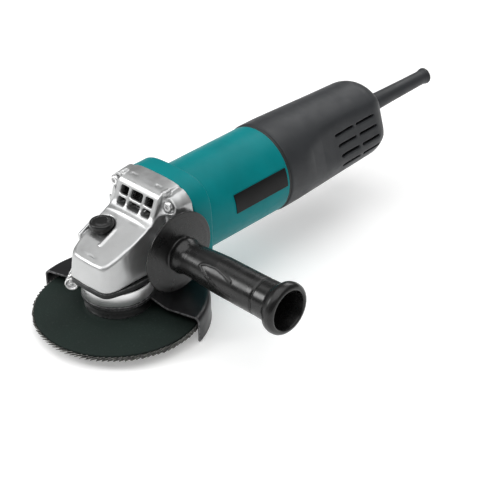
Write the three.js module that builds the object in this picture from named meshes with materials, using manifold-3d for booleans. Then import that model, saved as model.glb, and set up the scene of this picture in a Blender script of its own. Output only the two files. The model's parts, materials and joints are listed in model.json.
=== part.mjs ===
// Angle grinder with a 115 mm flap disc, in millimetres, +Z up.
// The origin is the centre of the spindle's lower end. The head looks along -Y, the motor runs
// back along +Y, and the side handle points along +X.
import * as THREE from "three";
import { mergeVertices } from "three/addons/utils/BufferGeometryUtils.js";
import Module from "manifold-3d";

const wasm = await Module();
wasm.setup();

// Driving dimensions.
const GAP = 0.3; // air between pieces that rest on each other
const TURN = 2 * Math.PI;
const MOTOR_Z = 51; // height of the motor axis
const DISC_RADIUS = 57.5;
const DISC_BORE = 11.1;
const PLATE_RADIUS = 56.3; // the flaps' ends stand out past it
const PLATE_RIM_Z = 4; // top of the backing plate at its rim
const HUB_TOP_Z = 10.5; // top of the disc's raised centre
const FLANGE_RADIUS = 21;
const FLANGE_TOP_Z = 15.5;
const THREAD_RADIUS = 7; // M14 spindle
const NECK_RADIUS = 22.4;
const BAND_BOTTOM_Z = 28.4; // the bearing box's plate, seen as a dark band
const BAND_TOP_Z = 32.3;
const CASE_BOTTOM_Z = 32.6;
const CASE_FRONT_Y = -26.4;
const CHAMBER_RADIUS = 20; // room for the crown gear
const SLOPE = 0.436; // rise of the gear case's top for each mm back
const SLOPE_Z = 60.9; // its height above the spindle axis
const GRILLE_FOOT = { y: 15.9, z: 67.8 };
const GRILLE_HEAD = { y: 23.5, z: 84 };
const GRILLE_HALF = 19.6;
const JOINT_Y = 39.9; // gear case meets motor housing
const COLLAR = { half: 34.5, up: 36.1, down: 35, power: 3.6 };
const COLLAR_END_Y = 55.5;
const BARREL_RADIUS = 31.6;
const BARREL_END_Y = 134;
const WALL = 2.4;
const REAR_END_Y = 245;
const REAR_RADIUS = 29.2;
const REAR_FLAT = 27.4; // half width between the flattened sides
const CORD_Z = 54.5;
const HANDLE_Y = 22.6;
const HANDLE_END_X = 132.8;
const BOSS_FACE_X = 34.9;
const BUTTON = { x: -10.9, y: -0.4, radius: 8.3, top: 65.8, bottom: 60.2, travel: 3 };
const WEB_TOP_Z = 44; // crown gear's web, with the lock pin's holes
const LOCK_HOLES = 12;
const GUARD = { radius: 61, sheet: 1.6, top: 11.8, bottom: -6.6, turn: 14.45, setBack: 2.2 };
const COLLAR_BAND = { inner: 22.7, outer: 23.9, bottom: 18.4, top: 28 };
const CLAMP = { angle: -144, radius: 28.7, z: 23.6, bore: 2.5 };
const CROWN = { teeth: 37, radius: 19.2 };
const PINION_TEETH = 10;
const TOOTH = { inner: 0.76, tip: 0.76, root: 1.4, rootHalf: 0.66, tipHalf: 0.24 };
const SHAFT_RADIUS = 5;
const CORE = { radius: 17.6, front: 68, back: 108, slots: 12 };
const COMMUTATOR = { radius: 12, front: 120, back: 134 };
const SLIDER_TRAVEL = 8;
const COVER_SCREW_Y = 142;
const BRUSH_Y = 127.5;
const LABEL = { from: 1, to: 25, start: 80.5, end: 130 }; // in degrees round the barrel, and along it

const COLOURS = {
  teal: [0x0f8c8e, 0.45, 0],
  black: [0x2d3034, 0.5, 0],
  gloss: [0x17181a, 0.3, 0],
  casting: [0xb4b6b8, 0.42, 0.9],
  steel: [0x9a9c9f, 0.3, 1],
  dark: [0x26282a, 0.5, 0.6],
  backing: [0x28342f, 0.75, 0],
  abrasive: [0x5a5b58, 0.95, 0],
  copper: [0xb06a35, 0.4, 0.9],
  laminate: [0x6a6d70, 0.5, 0.9],
  carbon: [0x202020, 0.8, 0],
  brass: [0xb89a4c, 0.35, 1],
  polymer: [0xd8d4c4, 0.6, 0],
};

// Solids.
function reshape(geometry, move) {
  const position = geometry.getAttribute("position");
  const point = new THREE.Vector3();
  for (let i = 0; i < position.count; i += 1) {
    point.fromBufferAttribute(position, i);
    move(point);
    position.setXYZ(i, point.x, point.y, point.z);
  }
  return geometry;
}

function signedVolume(positions, triangles) {
  const corner = [0, 1, 2].map(() => new THREE.Vector3());
  let volume = 0;
  for (let i = 0; i < triangles.length; i += 3) {
    corner.forEach((c, k) => c.fromArray(positions, 3 * triangles[i + k]));
    volume += corner[0].dot(corner[1].cross(corner[2]));
  }
  return volume;
}

// A three.js geometry as a manifold solid, facing out whichever way its profile ran.
function solid(geometry) {
  const bare = geometry.clone();
  bare.deleteAttribute("normal");
  bare.deleteAttribute("uv");
  const merged = mergeVertices(bare, 1e-4);
  const positions = merged.getAttribute("position").array;
  const triangles = [];
  for (let i = 0; i < merged.index.count; i += 3) {
    const [a, b, c] = [0, 1, 2].map((k) => merged.index.getX(i + k));
    if (a !== b && b !== c && c !== a) triangles.push(a, b, c);
  }
  const triVerts = new Uint32Array(triangles);
  if (signedVolume(positions, triVerts) < 0) triVerts.reverse();
  return new wasm.Manifold(new wasm.Mesh({ numProp: 3, vertProperties: positions, triVerts }));
}

function join(...pieces) {
  return pieces.reduce((whole, piece) => whole.add(piece));
}

function cut(body, ...tools) {
  return tools.reduce((whole, tool) => whole.subtract(tool), body);
}

function meshOf(name, body, colour) {
  const mesh = body.getMesh();
  const geometry = new THREE.BufferGeometry();
  geometry.setAttribute("position", new THREE.BufferAttribute(mesh.vertProperties, mesh.numProp));
  geometry.setIndex(new THREE.BufferAttribute(mesh.triVerts, 1));
  const flat = geometry.toNonIndexed();
  flat.computeVertexNormals();
  const [tone, roughness, metalness] = COLOURS[colour];
  const material = new THREE.MeshStandardMaterial({ color: tone, roughness, metalness });
  const made = new THREE.Mesh(flat, material);
  made.name = name;
  return made;
}

// Rods and turned shapes. A profile is a list of [radius, distance along the axis].
const ALONG = {
  X: (geometry) => geometry.rotateZ(-Math.PI / 2),
  Y: (geometry) => geometry,
  Z: (geometry) => geometry.rotateX(Math.PI / 2),
};

function turned(axis, profile, { sides = 20, x = 0, y = 0, z = 0, closed = true } = {}) {
  const points = profile.map(([r, h]) => new THREE.Vector2(r, h));
  const onAxis = profile[0][0] === 0 && profile[profile.length - 1][0] === 0;
  if (closed && !onAxis) points.push(points[0].clone());
  return solid(ALONG[axis](new THREE.LatheGeometry(points, sides)).translate(x, y, z));
}

function rod(axis, radius, from, to, options = {}) {
  return turned(axis, [[0, from], [radius, from], [radius, to], [0, to]], options);
}

function ring(axis, inner, outer, from, to, options = {}) {
  return turned(axis, [[inner, from], [outer, from], [outer, to], [inner, to]], options);
}

function box(x0, x1, y0, y1, z0, z1) {
  const geometry = new THREE.BoxGeometry(x1 - x0, y1 - y0, z1 - z0);
  return solid(geometry.translate((x0 + x1) / 2, (y0 + y1) / 2, (z0 + z1) / 2));
}

// A flat outline, [u, v] points, extruded along an axis: X takes [y, z], Y takes [x, z], Z takes [x, y].
const BASIS = {
  X: [[0, 1, 0], [0, 0, 1], [1, 0, 0]],
  Y: [[1, 0, 0], [0, 0, 1], [0, -1, 0]],
  Z: [[1, 0, 0], [0, 1, 0], [0, 0, 1]],
};

function extruded(axis, outline, from, to, { steps = 1, move = null } = {}) {
  const shape = new THREE.Shape(outline.map(([u, v]) => new THREE.Vector2(u, v)));
  const geometry = new THREE.ExtrudeGeometry(shape, { depth: to - from, steps, bevelEnabled: false });
  const columns = BASIS[axis].map((c) => new THREE.Vector3(...c));
  geometry.applyMatrix4(new THREE.Matrix4().makeBasis(...columns));
  const start = { X: [from, 0, 0], Y: [0, to, 0], Z: [0, 0, from] }[axis];
  geometry.translate(...start);
  return solid(move ? reshape(geometry, move) : geometry);
}

// An outline with its corners rounded, each by its own radius: [u, v, radius].
function rounded(corners, bends = 4) {
  const count = corners.length;
  return corners.flatMap(([u, v, radius = 0], i) => {
    if (!radius) return [[u, v]];
    const corner = new THREE.Vector2(u, v);
    const toward = (other) => {
      const way = new THREE.Vector2(other[0], other[1]).sub(corner);
      return corner.clone().add(way.setLength(Math.min(radius, way.length() / 2)));
    };
    const before = toward(corners[(i + count - 1) % count]);
    const after = toward(corners[(i + 1) % count]);
    const curve = new THREE.QuadraticBezierCurve(before, corner, after);
    return curve.getPoints(bends).map((p) => [p.x, p.y]);
  });
}

function mirrored(half) {
  return [...half, ...half.map(([u, v, r]) => [-u, v, r]).reverse()];
}

// Points of an arc about a centre, in degrees.
function arc(radius, from, to, count, [u, v] = [0, 0]) {
  return Array.from({ length: count + 1 }, (_, i) => {
    const angle = THREE.MathUtils.degToRad(from + ((to - from) * i) / count);
    return [u + radius * Math.cos(angle), v + radius * Math.sin(angle)];
  });
}

// A skin along Y: section(y, angle) gives [x, z] round the motor axis at each station.
function loft(section, stations, sides = 32) {
  const circle = new THREE.Shape(arc(1, 0, 360, sides).slice(1).map(([u, v]) => new THREE.Vector2(u, v)));
  const last = stations.length - 1;
  const geometry = new THREE.ExtrudeGeometry(circle, { depth: last, steps: last, bevelEnabled: false });
  reshape(geometry, (p) => {
    const y = stations[Math.round(p.z)];
    const [x, z] = section(y, Math.atan2(p.y, p.x));
    p.set(x, y, z);
  });
  return solid(geometry);
}

function roundedSquare({ half, up, down, power }, angle, inset = 0) {
  const c = Math.cos(angle) / (half - inset);
  const s = Math.sin(angle) / ((angle > 0 ? up : down) - inset);
  const reach = (Math.abs(c) ** power + Math.abs(s) ** power) ** (-1 / power);
  return [reach * Math.cos(angle), MOTOR_Z + reach * Math.sin(angle)];
}

// Value of y on a chain of [y, value] points.
function along(chain, y) {
  const i = Math.max(1, chain.findIndex(([at]) => at >= y));
  const [[y0, v0], [y1, v1]] = [chain[i - 1], chain[i]];
  return THREE.MathUtils.lerp(v0, v1, THREE.MathUtils.clamp((y - y0) / (y1 - y0), 0, 1));
}

function coil(radius, wire, from, to, turns) {
  class Helix extends THREE.Curve {
    getPoint(t, target = new THREE.Vector3()) {
      const angle = t * turns * TURN;
      return target.set(radius * Math.cos(angle), radius * Math.sin(angle), from + (to - from) * t);
    }
  }
  const section = new THREE.Shape(arc(wire, 0, 360, 4).slice(1).map(([u, v]) => new THREE.Vector2(u, v)));
  const settings = { steps: turns * 7, bevelEnabled: false, extrudePath: new Helix() };
  return new THREE.ExtrudeGeometry(section, settings);
}

function screw(axis, at, { head, headLength, shank, length, hex = 0, toward = 1 }) {
  const start = toward > 0 ? -headLength : 0;
  const options = { sides: 16, ...at };
  const body = toward > 0
    ? join(rod(axis, head, start, 0, options), rod(axis, shank, -0.1, length, options))
    : join(rod(axis, head, 0, headLength, options), rod(axis, shank, -length, 0.1, options));
  if (!hex) return body;
  const depth = headLength * 0.6;
  const mouth = toward > 0 ? -headLength - 1 : headLength - depth;
  return cut(body, rod(axis, hex, mouth, mouth + depth + 1, { ...options, sides: 6 }));
}

// Gear case.
const CASE_FOOT = mirrored([
  [7, CASE_FRONT_Y],
  [17.4, CASE_FRONT_Y + 0.9, 4],
  [20.9, -16, 4],
  [22.7, -6],
  [23.3, 6],
  [23.3, 23.2, 3],
]);
const BOX_SCREWS = [[14, -18.3], [-14, -18.3], [17, 17], [-17, 17]];
// Screws into the motor housing: [x, height above the motor axis]
const CASE_SCREWS = [[-25.2, 28], [-24.2, -25.6], [25.2, 28], [24.2, -25.6]];
const SCREW_SEAT_Y = 27;

function slopeAt(y) {
  return SLOPE_Z + SLOPE * y;
}

function nose() {
  // The sides lean in towards the front and out towards the back, more the higher they are.
  const flare = (p) => {
    const rise = Math.min(1, (p.z - CASE_BOTTOM_Z) / (slopeAt(p.y) - CASE_BOTTOM_Z));
    p.x *= 1 + Math.max(-0.12, 0.009 * (p.y - 6)) * rise;
  };
  const block = extruded("Z", rounded(CASE_FOOT), CASE_BOTTOM_Z, 72, { steps: 3, move: flare });
  const side = [
    [CASE_FRONT_Y - 3, CASE_BOTTOM_Z - 1],
    [CASE_FRONT_Y - 3, CASE_BOTTOM_Z + 1],
    [CASE_FRONT_Y, CASE_BOTTOM_Z + 1],
    [CASE_FRONT_Y + 1.4, slopeAt(CASE_FRONT_Y) - 1],
    [CASE_FRONT_Y + 3.2, slopeAt(CASE_FRONT_Y + 3.2)],
    [GRILLE_FOOT.y + 8, slopeAt(GRILLE_FOOT.y + 8)],
    [GRILLE_FOOT.y + 8, CASE_BOTTOM_Z - 1],
  ];
  return block.intersect(extruded("X", side, -40, 40));
}

// The skin that swells from behind the nose to the joint with the motor housing.
const SHOULDER = {
  half: [[14, 25.5], [20, 29], [27, 32.4], [34, 34], [JOINT_Y, COLLAR.half]],
  up: [[14, 15.5], [20, 22], [27, 30.4], [34, 35], [JOINT_Y, COLLAR.up]],
  down: [[14, 17.5], [25.4, 18], [27, 20.5], [30, 33], [34, 34.5], [JOINT_Y, COLLAR.down]],
};

function shoulderSection(y, angle, inset = 0) {
  const size = Object.fromEntries(Object.entries(SHOULDER).map(([k, chain]) => [k, along(chain, y)]));
  return roundedSquare({ ...size, power: COLLAR.power }, angle, inset);
}

function grilleBlock() {
  const side = [
    [12, 60],
    [12, slopeAt(12) - 1],
    [GRILLE_FOOT.y, GRILLE_FOOT.z],
    [GRILLE_HEAD.y, GRILLE_HEAD.z],
    [GRILLE_HEAD.y + 2.5, GRILLE_HEAD.z + 1.8],
    [JOINT_Y, GRILLE_HEAD.z + 4],
    [JOINT_Y, 60],
  ];
  return extruded("X", side, -GRILLE_HALF, GRILLE_HALF).intersect(collarArch());
}

// Holds the case's top within the collar's outline.
function collarArch() {
  return loft((y, angle) => roundedSquare(COLLAR, angle, -0.5), [10, JOINT_Y]);
}

const GRILLE_COLUMNS = [[-15.1, -7.9], [-5.3, 5.3], [7.9, 15.1]];
const GRILLE_ROWS = [[0.1, 0.38], [0.5, 0.83]]; // along the face, foot to head

function grilleWindows() {
  const face = new THREE.Vector2(GRILLE_HEAD.y - GRILLE_FOOT.y, GRILLE_HEAD.z - GRILLE_FOOT.z);
  const into = new THREE.Vector2(face.y, -face.x).setLength(9);
  const at = (share, depth) => [
    GRILLE_FOOT.y + face.x * share + into.x * depth,
    GRILLE_FOOT.z + face.y * share + into.y * depth,
  ];
  return GRILLE_ROWS.flatMap(([low, high]) => {
    const side = [at(low, -0.3), at(high, -0.3), at(high, 1), at(low, 1)];
    return GRILLE_COLUMNS.map(([from, to]) => extruded("X", side, from, to));
  });
}

// A level floor sunk into the sloping top: round behind the button, open towards the front.
function buttonWell() {
  const { x, y, radius, bottom, travel } = BUTTON;
  const reach = radius + 0.6;
  const outline = [...arc(reach, 0, 180, 12, [x, y]), [x - reach, -30], [x + reach, -30]];
  return extruded("Z", outline, bottom - travel - GAP, 90);
}

function gearHousing() {
  const { x, y } = BUTTON;
  const shoulder = loft(shoulderSection, [14, 20, 25.4, 27, 30, 34, JOINT_Y]);
  const bosses = [-1, 1].map((side) => {
    const profile = [[0, 18], [15, 18], [13.2, 32.6], [12, BOSS_FACE_X], [0, BOSS_FACE_X]];
    return turned("X", profile.map(([r, h]) => [r, side * h]), { y: HANDLE_Y, z: MOTOR_Z });
  });
  const lugs = [-1, 1].map((side) => {
    const place = { x: side * 19.8, z: 85.4, sides: 12 };
    return rod("Y", 2.2, SCREW_SEAT_Y - 0.4, 32, place);
  });
  const screwBosses = CASE_SCREWS.filter(([, rise]) => rise > 0).map(([u, rise]) => {
    const boss = rod("Y", 5.2, SCREW_SEAT_Y, JOINT_Y, { x: u, z: MOTOR_Z + rise });
    return boss.intersect(collarArch());
  });
  const pips = [-1, 1].map((side) => {
    const face = [side * 18, side * 26.4];
    return rod("X", 6.2, Math.min(...face), Math.max(...face), { y: 3, z: 53, sides: 16 });
  });
  const body = join(nose(), shoulder, grilleBlock(), ...bosses, ...screwBosses, ...lugs, ...pips);
  const chamber = join(
    rod("Z", CHAMBER_RADIUS, CASE_BOTTOM_Z - 2, 52),
    rod("Y", 8.6, 10, 30, { z: MOTOR_Z }),
    rod("Y", 15.25, 26.7, 38, { z: MOTOR_Z }),
    rod("Y", 30.6, 37.6, JOINT_Y + 1, { z: MOTOR_Z }),
  );
  const roof = slopeAt(0) - 4.5;
  const bushBoss = rod("Z", 8.5, 48.9, roof);
  const duct = extruded("X", [[21.6, 69], [27.7, 82], [JOINT_Y + 1, 82.8], [JOINT_Y + 1, 69]], -16.5, 16.5);
  const wells = [
    buttonWell(),
    rod("Z", 2.4, 44, 60, { x, y, sides: 16 }),
    rod("Z", 6.3, 47, 53.6),
  ];
  const boxHoles = BOX_SCREWS.map(([u, v]) => rod("Z", 1.8, 30, 42.5, { x: u, y: v, sides: 12 }));
  const handleHoles = [-1, 1].map((side) => {
    const reach = [side * 21.5, side * 40];
    return rod("X", 4.35, Math.min(...reach), Math.max(...reach), { y: HANDLE_Y, z: MOTOR_Z, sides: 24 });
  });
  const screwPockets = CASE_SCREWS.flatMap(([u, rise]) => {
    const place = { x: u, z: MOTOR_Z + rise };
    return [
      rod("Y", 4.6, 8, SCREW_SEAT_Y, { ...place, sides: 20 }),
      rod("Y", 2.1, 20, JOINT_Y + 1, { ...place, sides: 12 }),
    ];
  });
  const scoops = [-1, 1].map((side) => {
    const outline = [[20.4, 90], [20.4, 73.5], [24, 71.2], [34, 75], [34, 90]];
    return extruded("Y", outline.map(([u, v]) => [side * u, v]), 10, SCREW_SEAT_Y - 0.2);
  });
  const shell = cut(body, cut(chamber, bushBoss), duct, ...grilleWindows(), ...scoops);
  return cut(shell, ...wells, ...boxHoles, ...handleHoles, ...screwPockets);
}

function bearingBox() {
  const plate = extruded("Z", rounded(CASE_FOOT), BAND_BOTTOM_Z, BAND_TOP_Z);
  const neck = rod("Z", NECK_RADIUS, FLANGE_TOP_Z + 0.9, BAND_BOTTOM_Z + 1);
  const spigot = rod("Z", CHAMBER_RADIUS - 0.4, BAND_TOP_Z - 1, 34.4);
  const bore = join(rod("Z", 17.8, 20.8, 36), rod("Z", 10.8, 10, 22));
  const screws = BOX_SCREWS.flatMap(([x, y]) => [
    rod("Z", 1.8, 26, 36, { x, y, sides: 12 }),
    rod("Z", 2.9, 26, 31, { x, y, sides: 16 }),
  ]);
  return cut(join(plate, neck, spigot), bore, ...screws);
}

// Bevel gears, with their apex where the spindle's axis meets the motor's.
const PINION_RADIUS = (CROWN.radius * PINION_TEETH) / CROWN.teeth;
const CONE = Math.hypot(CROWN.radius, PINION_RADIUS);

// One tooth on a cone that opens along +Z from the origin, pointing along +X.
function bevelTooth(radius) {
  const [sine, cosine] = [radius / CONE, Math.sqrt(1 - (radius / CONE) ** 2)];
  const sink = 0.3; // sunk into the blank
  return reshape(new THREE.BoxGeometry(2, 2, 2), (p) => {
    const share = p.x < 0 ? TOOTH.inner : 1;
    const height = p.z < 0 ? -TOOTH.root - sink : TOOTH.tip;
    const half = p.z < 0 ? TOOTH.rootHalf : TOOTH.tipHalf;
    const [out, down] = [CONE * sine + height * cosine, CONE * cosine - height * sine];
    p.set(share * out, Math.sign(p.y) * share * half, share * down);
  });
}

function teeth(count, radius, phase, settle) {
  return Array.from({ length: count }, (_, i) => {
    const tooth = bevelTooth(radius).rotateZ(((i + phase) / count) * TURN);
    return solid(settle(tooth));
  });
}

function crownGear() {
  const blank = turned("Z", [
    [6.3, 36.5], [9.5, 36.5], [9.5, 39.5], [19.2, 39.5], [19.3, 43.6], [18.83, 44.46],
    [14.31, 46.03], [14.2, WEB_TOP_Z], [8.2, WEB_TOP_Z], [8.2, 47], [6.3, 47],
  ]);
  // A quarter turn and half a tooth leave a gap facing the pinion.
  const phase = CROWN.teeth / 4 + 0.5;
  const settle = (tooth) => tooth.rotateX(Math.PI).translate(0, 0, MOTOR_Z);
  const rim = teeth(CROWN.teeth, CROWN.radius, -phase, settle);
  const lockAngle = Math.atan2(BUTTON.y, BUTTON.x);
  const lockRadius = Math.hypot(BUTTON.x, BUTTON.y);
  const holes = Array.from({ length: LOCK_HOLES }, (_, i) => {
    const angle = lockAngle + (i / LOCK_HOLES) * TURN;
    const [x, y] = [lockRadius * Math.cos(angle), lockRadius * Math.sin(angle)];
    return rod("Z", 2.4, 38, 46, { x, y, sides: 8 });
  });
  return cut(join(blank, ...rim), ...holes);
}

function pinion() {
  const root = (share) => share * (PINION_RADIUS - TOOTH.root);
  const [front, back] = [CROWN.radius * TOOTH.inner, CROWN.radius];
  const blank = turned("Y", [
    [0, front], [root(TOOTH.inner), front], [root(1), back], [6.5, back + 0.4], [6.5, 26.6], [0, 26.6],
  ], { sides: 20, z: MOTOR_Z });
  const settle = (tooth) => tooth.rotateX(-Math.PI / 2).translate(0, 0, MOTOR_Z);
  // One tooth points straight down into the crown gear's gap.
  const cogs = teeth(PINION_TEETH, PINION_RADIUS, PINION_TEETH / 4, settle);
  return cut(join(blank, ...cogs), rod("Y", 4.3, 20.6, 28, { z: MOTOR_Z, sides: 20 }));
}

// What turns with the spindle.
function spindle() {
  return turned("Z", [
    [0, 0], [THREAD_RADIUS - 1, 0], [THREAD_RADIUS, 1], [THREAD_RADIUS, FLANGE_TOP_Z + GAP],
    [10, FLANGE_TOP_Z + GAP], [10, 20.5], [7.2, 20.5], [7.2, 36.2], [6, 36.2], [6, 48.5],
    [4, 48.5], [4, 53.2], [0, 53.2],
  ], { sides: 20 });
}

function innerFlange() {
  return turned("Z", [
    [THREAD_RADIUS + GAP, 7], [DISC_BORE - GAP, 7], [DISC_BORE - GAP, HUB_TOP_Z + GAP],
    [19.9, HUB_TOP_Z + GAP], [22, 8.2], [22.6, 8.2], [22.6, 9.4], [FLANGE_RADIUS, 11.6],
    [FLANGE_RADIUS, 14.2], [FLANGE_RADIUS - 1.4, FLANGE_TOP_Z], [THREAD_RADIUS + GAP, FLANGE_TOP_Z],
  ]);
}

function lockNut() {
  const body = turned("Z", [
    [THREAD_RADIUS + GAP, 0.6], [11.5, 0.6], [12, 1.2], [12, 4], [16.4, 4.6],
    [16.4, 7.4], [11.3, 7.4], [11.3, 6.6], [THREAD_RADIUS + GAP, 6.6],
  ]);
  const holes = [-1, 1].map((side) => rod("Z", 1.3, -1, 3.6, { x: side * 9.8, sides: 12 }));
  return cut(body, ...holes);
}

function backingPlate() {
  return turned("Z", [
    [DISC_BORE + 0.1, 7.9], [19, 7.9], [22.4, 4.2], [34, 2.9], [PLATE_RADIUS, 2.1],
    [PLATE_RADIUS, PLATE_RIM_Z], [40, 5.1], [22.9, 6.6], [19.8, HUB_TOP_Z], [DISC_BORE + 0.1, HUB_TOP_Z],
  ], { sides: 36 });
}

function flapRing() {
  return turned("Z", [
    [33, -0.6], [36, -2], [DISC_RADIUS, -2], [DISC_RADIUS, 3.2],
    [PLATE_RADIUS + 0.3, 3.4], [PLATE_RADIUS + 0.2, 1.7], [34, 2.4],
  ], { sides: 36 });
}

// Guard and its clamp.
function onClamp(geometryOrSolid) {
  return geometryOrSolid.rotate([0, 0, CLAMP.angle]);
}

function guardShell() {
  const { radius, sheet, top, bottom } = GUARD;
  const inner = radius - sheet;
  const full = turned("Z", [
    [22.7, 18.1], [COLLAR_BAND.outer, 18.1], [COLLAR_BAND.outer, 17.2], [34, top + 0.6],
    [radius - 2.6, top], [radius - 0.7, top - 0.8], [radius, top - 2.6], [radius, bottom], [inner, bottom],
    [inner, top - 3.2], [radius - 3, top - sheet], [34, top - sheet + 0.4], [22.7, 16.1],
  ], { sides: 44 });
  const front = box(-80, 80, -80, GUARD.setBack, -20, 40).rotate([0, 0, GUARD.turn]);
  return cut(full, cut(front, rod("Z", COLLAR_BAND.outer, -30, 50, { sides: 44 })));
}

function guardCollar() {
  const { inner, outer, bottom, top } = COLLAR_BAND;
  const band = ring("Z", inner, outer, bottom, top, { sides: 28 });
  const ears = box(inner, CLAMP.radius + 3.8, -4.2, 4.2, 19.6, 27.8);
  const hollow = rod("Z", inner, 10, 40, { sides: 28 });
  const slit = box(20, 50, -1.1, 1.1, 10, 40);
  const hole = rod("Y", CLAMP.bore, -10, 10, { x: CLAMP.radius, z: CLAMP.z, sides: 16 });
  return cut(join(band, onClamp(cut(ears, hollow, slit, hole))), onClamp(slit));
}

function clampScrew() {
  const place = { x: CLAMP.radius, z: CLAMP.z, sides: 20 };
  const head = turned("Y", [[0, 4.6], [4.4, 4.6], [4.5, 7.6], [3.9, 8.6], [0, 8.6]], place);
  const shank = rod("Y", 2.1, -9.5, 5, place);
  const socket = rod("Y", 2.3, 6.4, 10, { ...place, sides: 6 });
  return onClamp(cut(join(head, shank), socket));
}

function clampNut() {
  const place = { x: CLAMP.radius, z: CLAMP.z };
  return onClamp(cut(
    rod("Y", 4.4, -8, -4.6, { ...place, sides: 6 }),
    rod("Y", CLAMP.bore, -12, 0, { ...place, sides: 16 }),
  ));
}

// Spindle lock.
function lockButtonCap() {
  const { x, y, radius, top, bottom } = BUTTON;
  return turned("Z", [
    [6.6, bottom], [radius, bottom], [radius, top - 1.6], [radius - 0.7, top - 0.7],
    [radius - 2.6, top - 0.3], [0, top], [0, top - 2], [6.6, top - 2.2],
  ], { x, y, sides: 24 });
}

function lockPin() {
  const { x, y, top } = BUTTON;
  return rod("Z", 2, WEB_TOP_Z + 0.4, top - 2.8, { x, y, sides: 12 });
}

// Motor housing and what it holds.
function collarSection(y, angle) {
  const end = COLLAR_END_Y;
  const share = along([[JOINT_Y, 1], [end - 1.2, 1], [end, 0.86], [end + 1.6, 0.2], [60, 0]], y);
  const [x, z] = roundedSquare(COLLAR, angle);
  const [bx, bz] = [BARREL_RADIUS * Math.cos(angle), MOTOR_Z + BARREL_RADIUS * Math.sin(angle)];
  return [THREE.MathUtils.lerp(bx, x, share), THREE.MathUtils.lerp(bz, z, share)];
}

const SLIDER = { from: 80, to: 108, post: 93 };

function motorHousing() {
  const stations = [
    JOINT_Y + GAP, COLLAR_END_Y - 1.2, COLLAR_END_Y, COLLAR_END_Y + 1.6, 60, 131.8, 132.4, BARREL_END_Y,
  ];
  const skin = loft((y, angle) => {
    if (y <= 60) return collarSection(y, angle);
    const radius = y > 132 ? BARREL_RADIUS - 0.9 : BARREL_RADIUS;
    return [radius * Math.cos(angle), MOTOR_Z + radius * Math.sin(angle)];
  }, stations);
  const at = { z: MOTOR_Z };
  const neck = rod("Y", 28.7, 120, 147, at);
  const bore = join(rod("Y", 31, 30, 54.4, at), rod("Y", 28.9, 50, 118, at), rod("Y", 26, 110, 138, at));
  const rear = join(rod("Y", 26, 141, 150, at), rod("Y", 11.25, 139.9, 150, at), rod("Y", 9, 130, 145, at));
  const seat = cut(rod("Y", 14, 138, 147, at), rod("Y", 11.25, 139.9, 150, at), rod("Y", 9, 130, 145, at));
  const vents = [45, 135, 225, 315].map((turn) => {
    const [x, z] = arc(19.8, turn, turn, 1)[0];
    return rod("Y", 4.4, 130, 150, { x, z: MOTOR_Z + z, sides: 12 });
  });
  const screwPlaces = CASE_SCREWS.map(([x, rise]) => ({ x, z: MOTOR_Z + rise }));
  const screwBosses = screwPlaces.map((place) => rod("Y", 4.4, JOINT_Y + GAP, 53, { ...place, sides: 16 }));
  const screwHoles = screwPlaces.map((place) => rod("Y", 1.9, 30, 51.6, { ...place, sides: 12 }));
  const rodway = box(-29, -25.4, 100, 150, MOTOR_Z - 3.6, MOTOR_Z + 3.6);
  const slotStart = SLIDER.post - SLIDER_TRAVEL - 3.6;
  const slot = box(-40, -27, slotStart, SLIDER.post + 3.6, MOTOR_Z - 2.6, MOTOR_Z + 2.6);
  const fanRoom = rod("Y", 30.3, 30, 52, at);
  const hollow = cut(join(skin, neck), bore, rear);
  const bosses = cut(join(...screwBosses).intersect(skin), fanRoom);
  const coverScrewHole = rod("Z", 1.9, 10, 30, { y: COVER_SCREW_Y, sides: 12 });
  return cut(join(hollow, seat, bosses), ...vents, rodway, slot, coverScrewHole, ...screwHoles);
}

// Rear cover: a tapering tube whose sides flatten towards its rounded end.
const REAR_RADII = [[134, 32.3], [150, 32.2], [200, 30.2], [228, REAR_RADIUS]];
const REAR_FLATS = [[134, 33], [158, 31.4], [196, REAR_FLAT], [260, REAR_FLAT - 0.4]];
const REAR_ROUNDING = 16;

function rearSection(y, angle, inset) {
  const bend = THREE.MathUtils.clamp((y - (REAR_END_Y - REAR_ROUNDING)) / REAR_ROUNDING, 0, 1);
  const shrink = REAR_ROUNDING * 0.75 * (1 - Math.sqrt(1 - bend * bend * 0.98));
  const radius = along(REAR_RADII, Math.min(y, 228)) - shrink - inset;
  const flat = along(REAR_FLATS, y) - shrink - inset;
  const x = THREE.MathUtils.clamp(radius * Math.cos(angle), -flat, flat);
  return [x, MOTOR_Z + radius * Math.sin(angle)];
}

const VENT_ROWS = [63.6, 55.6, 47.7, 39.9];
const VENT_SPANS = [[187, 207], [210, 229.5]];
const VENT_STEP = 1.5; // each row starts this much further back

function rearCover() {
  const start = BARREL_END_Y + GAP;
  const bends = [230, 237, 242, REAR_END_Y];
  const outer = loft((y, angle) => rearSection(y, angle, 0), [start, 152, 196, 215, ...bends], 36);
  const inner = loft(
    (y, angle) => rearSection(Math.min(y + WALL * 0.7, REAR_END_Y), angle, WALL),
    [start - 1, 152, 196, 229, 237, REAR_END_Y - WALL],
    36,
  );
  const vents = VENT_ROWS.flatMap((z, row) => VENT_SPANS.map(([from, to]) => {
    const shift = VENT_STEP * row;
    return box(-40, 40, from + shift, to + shift, z - 1.05, z + 1.05);
  }));
  const cordHole = rod("Y", 7.2, 230, 250, { z: CORD_Z, sides: 24 });
  const screwHole = rod("Z", 1.9, 10, 30, { y: COVER_SCREW_Y, sides: 12 });
  return cut(outer, inner, ...vents, cordHole, screwHole);
}

function cordGuard() {
  return turned("Y", [
    [3.7, 235], [9, 235], [9, REAR_END_Y - WALL - GAP], [6.8, REAR_END_Y - WALL - GAP], [6.8, 249],
    [5.3, 311], [6.2, 315.6], [6.2, 317], [3.7, 317],
  ], { sides: 16, z: CORD_Z });
}

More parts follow.
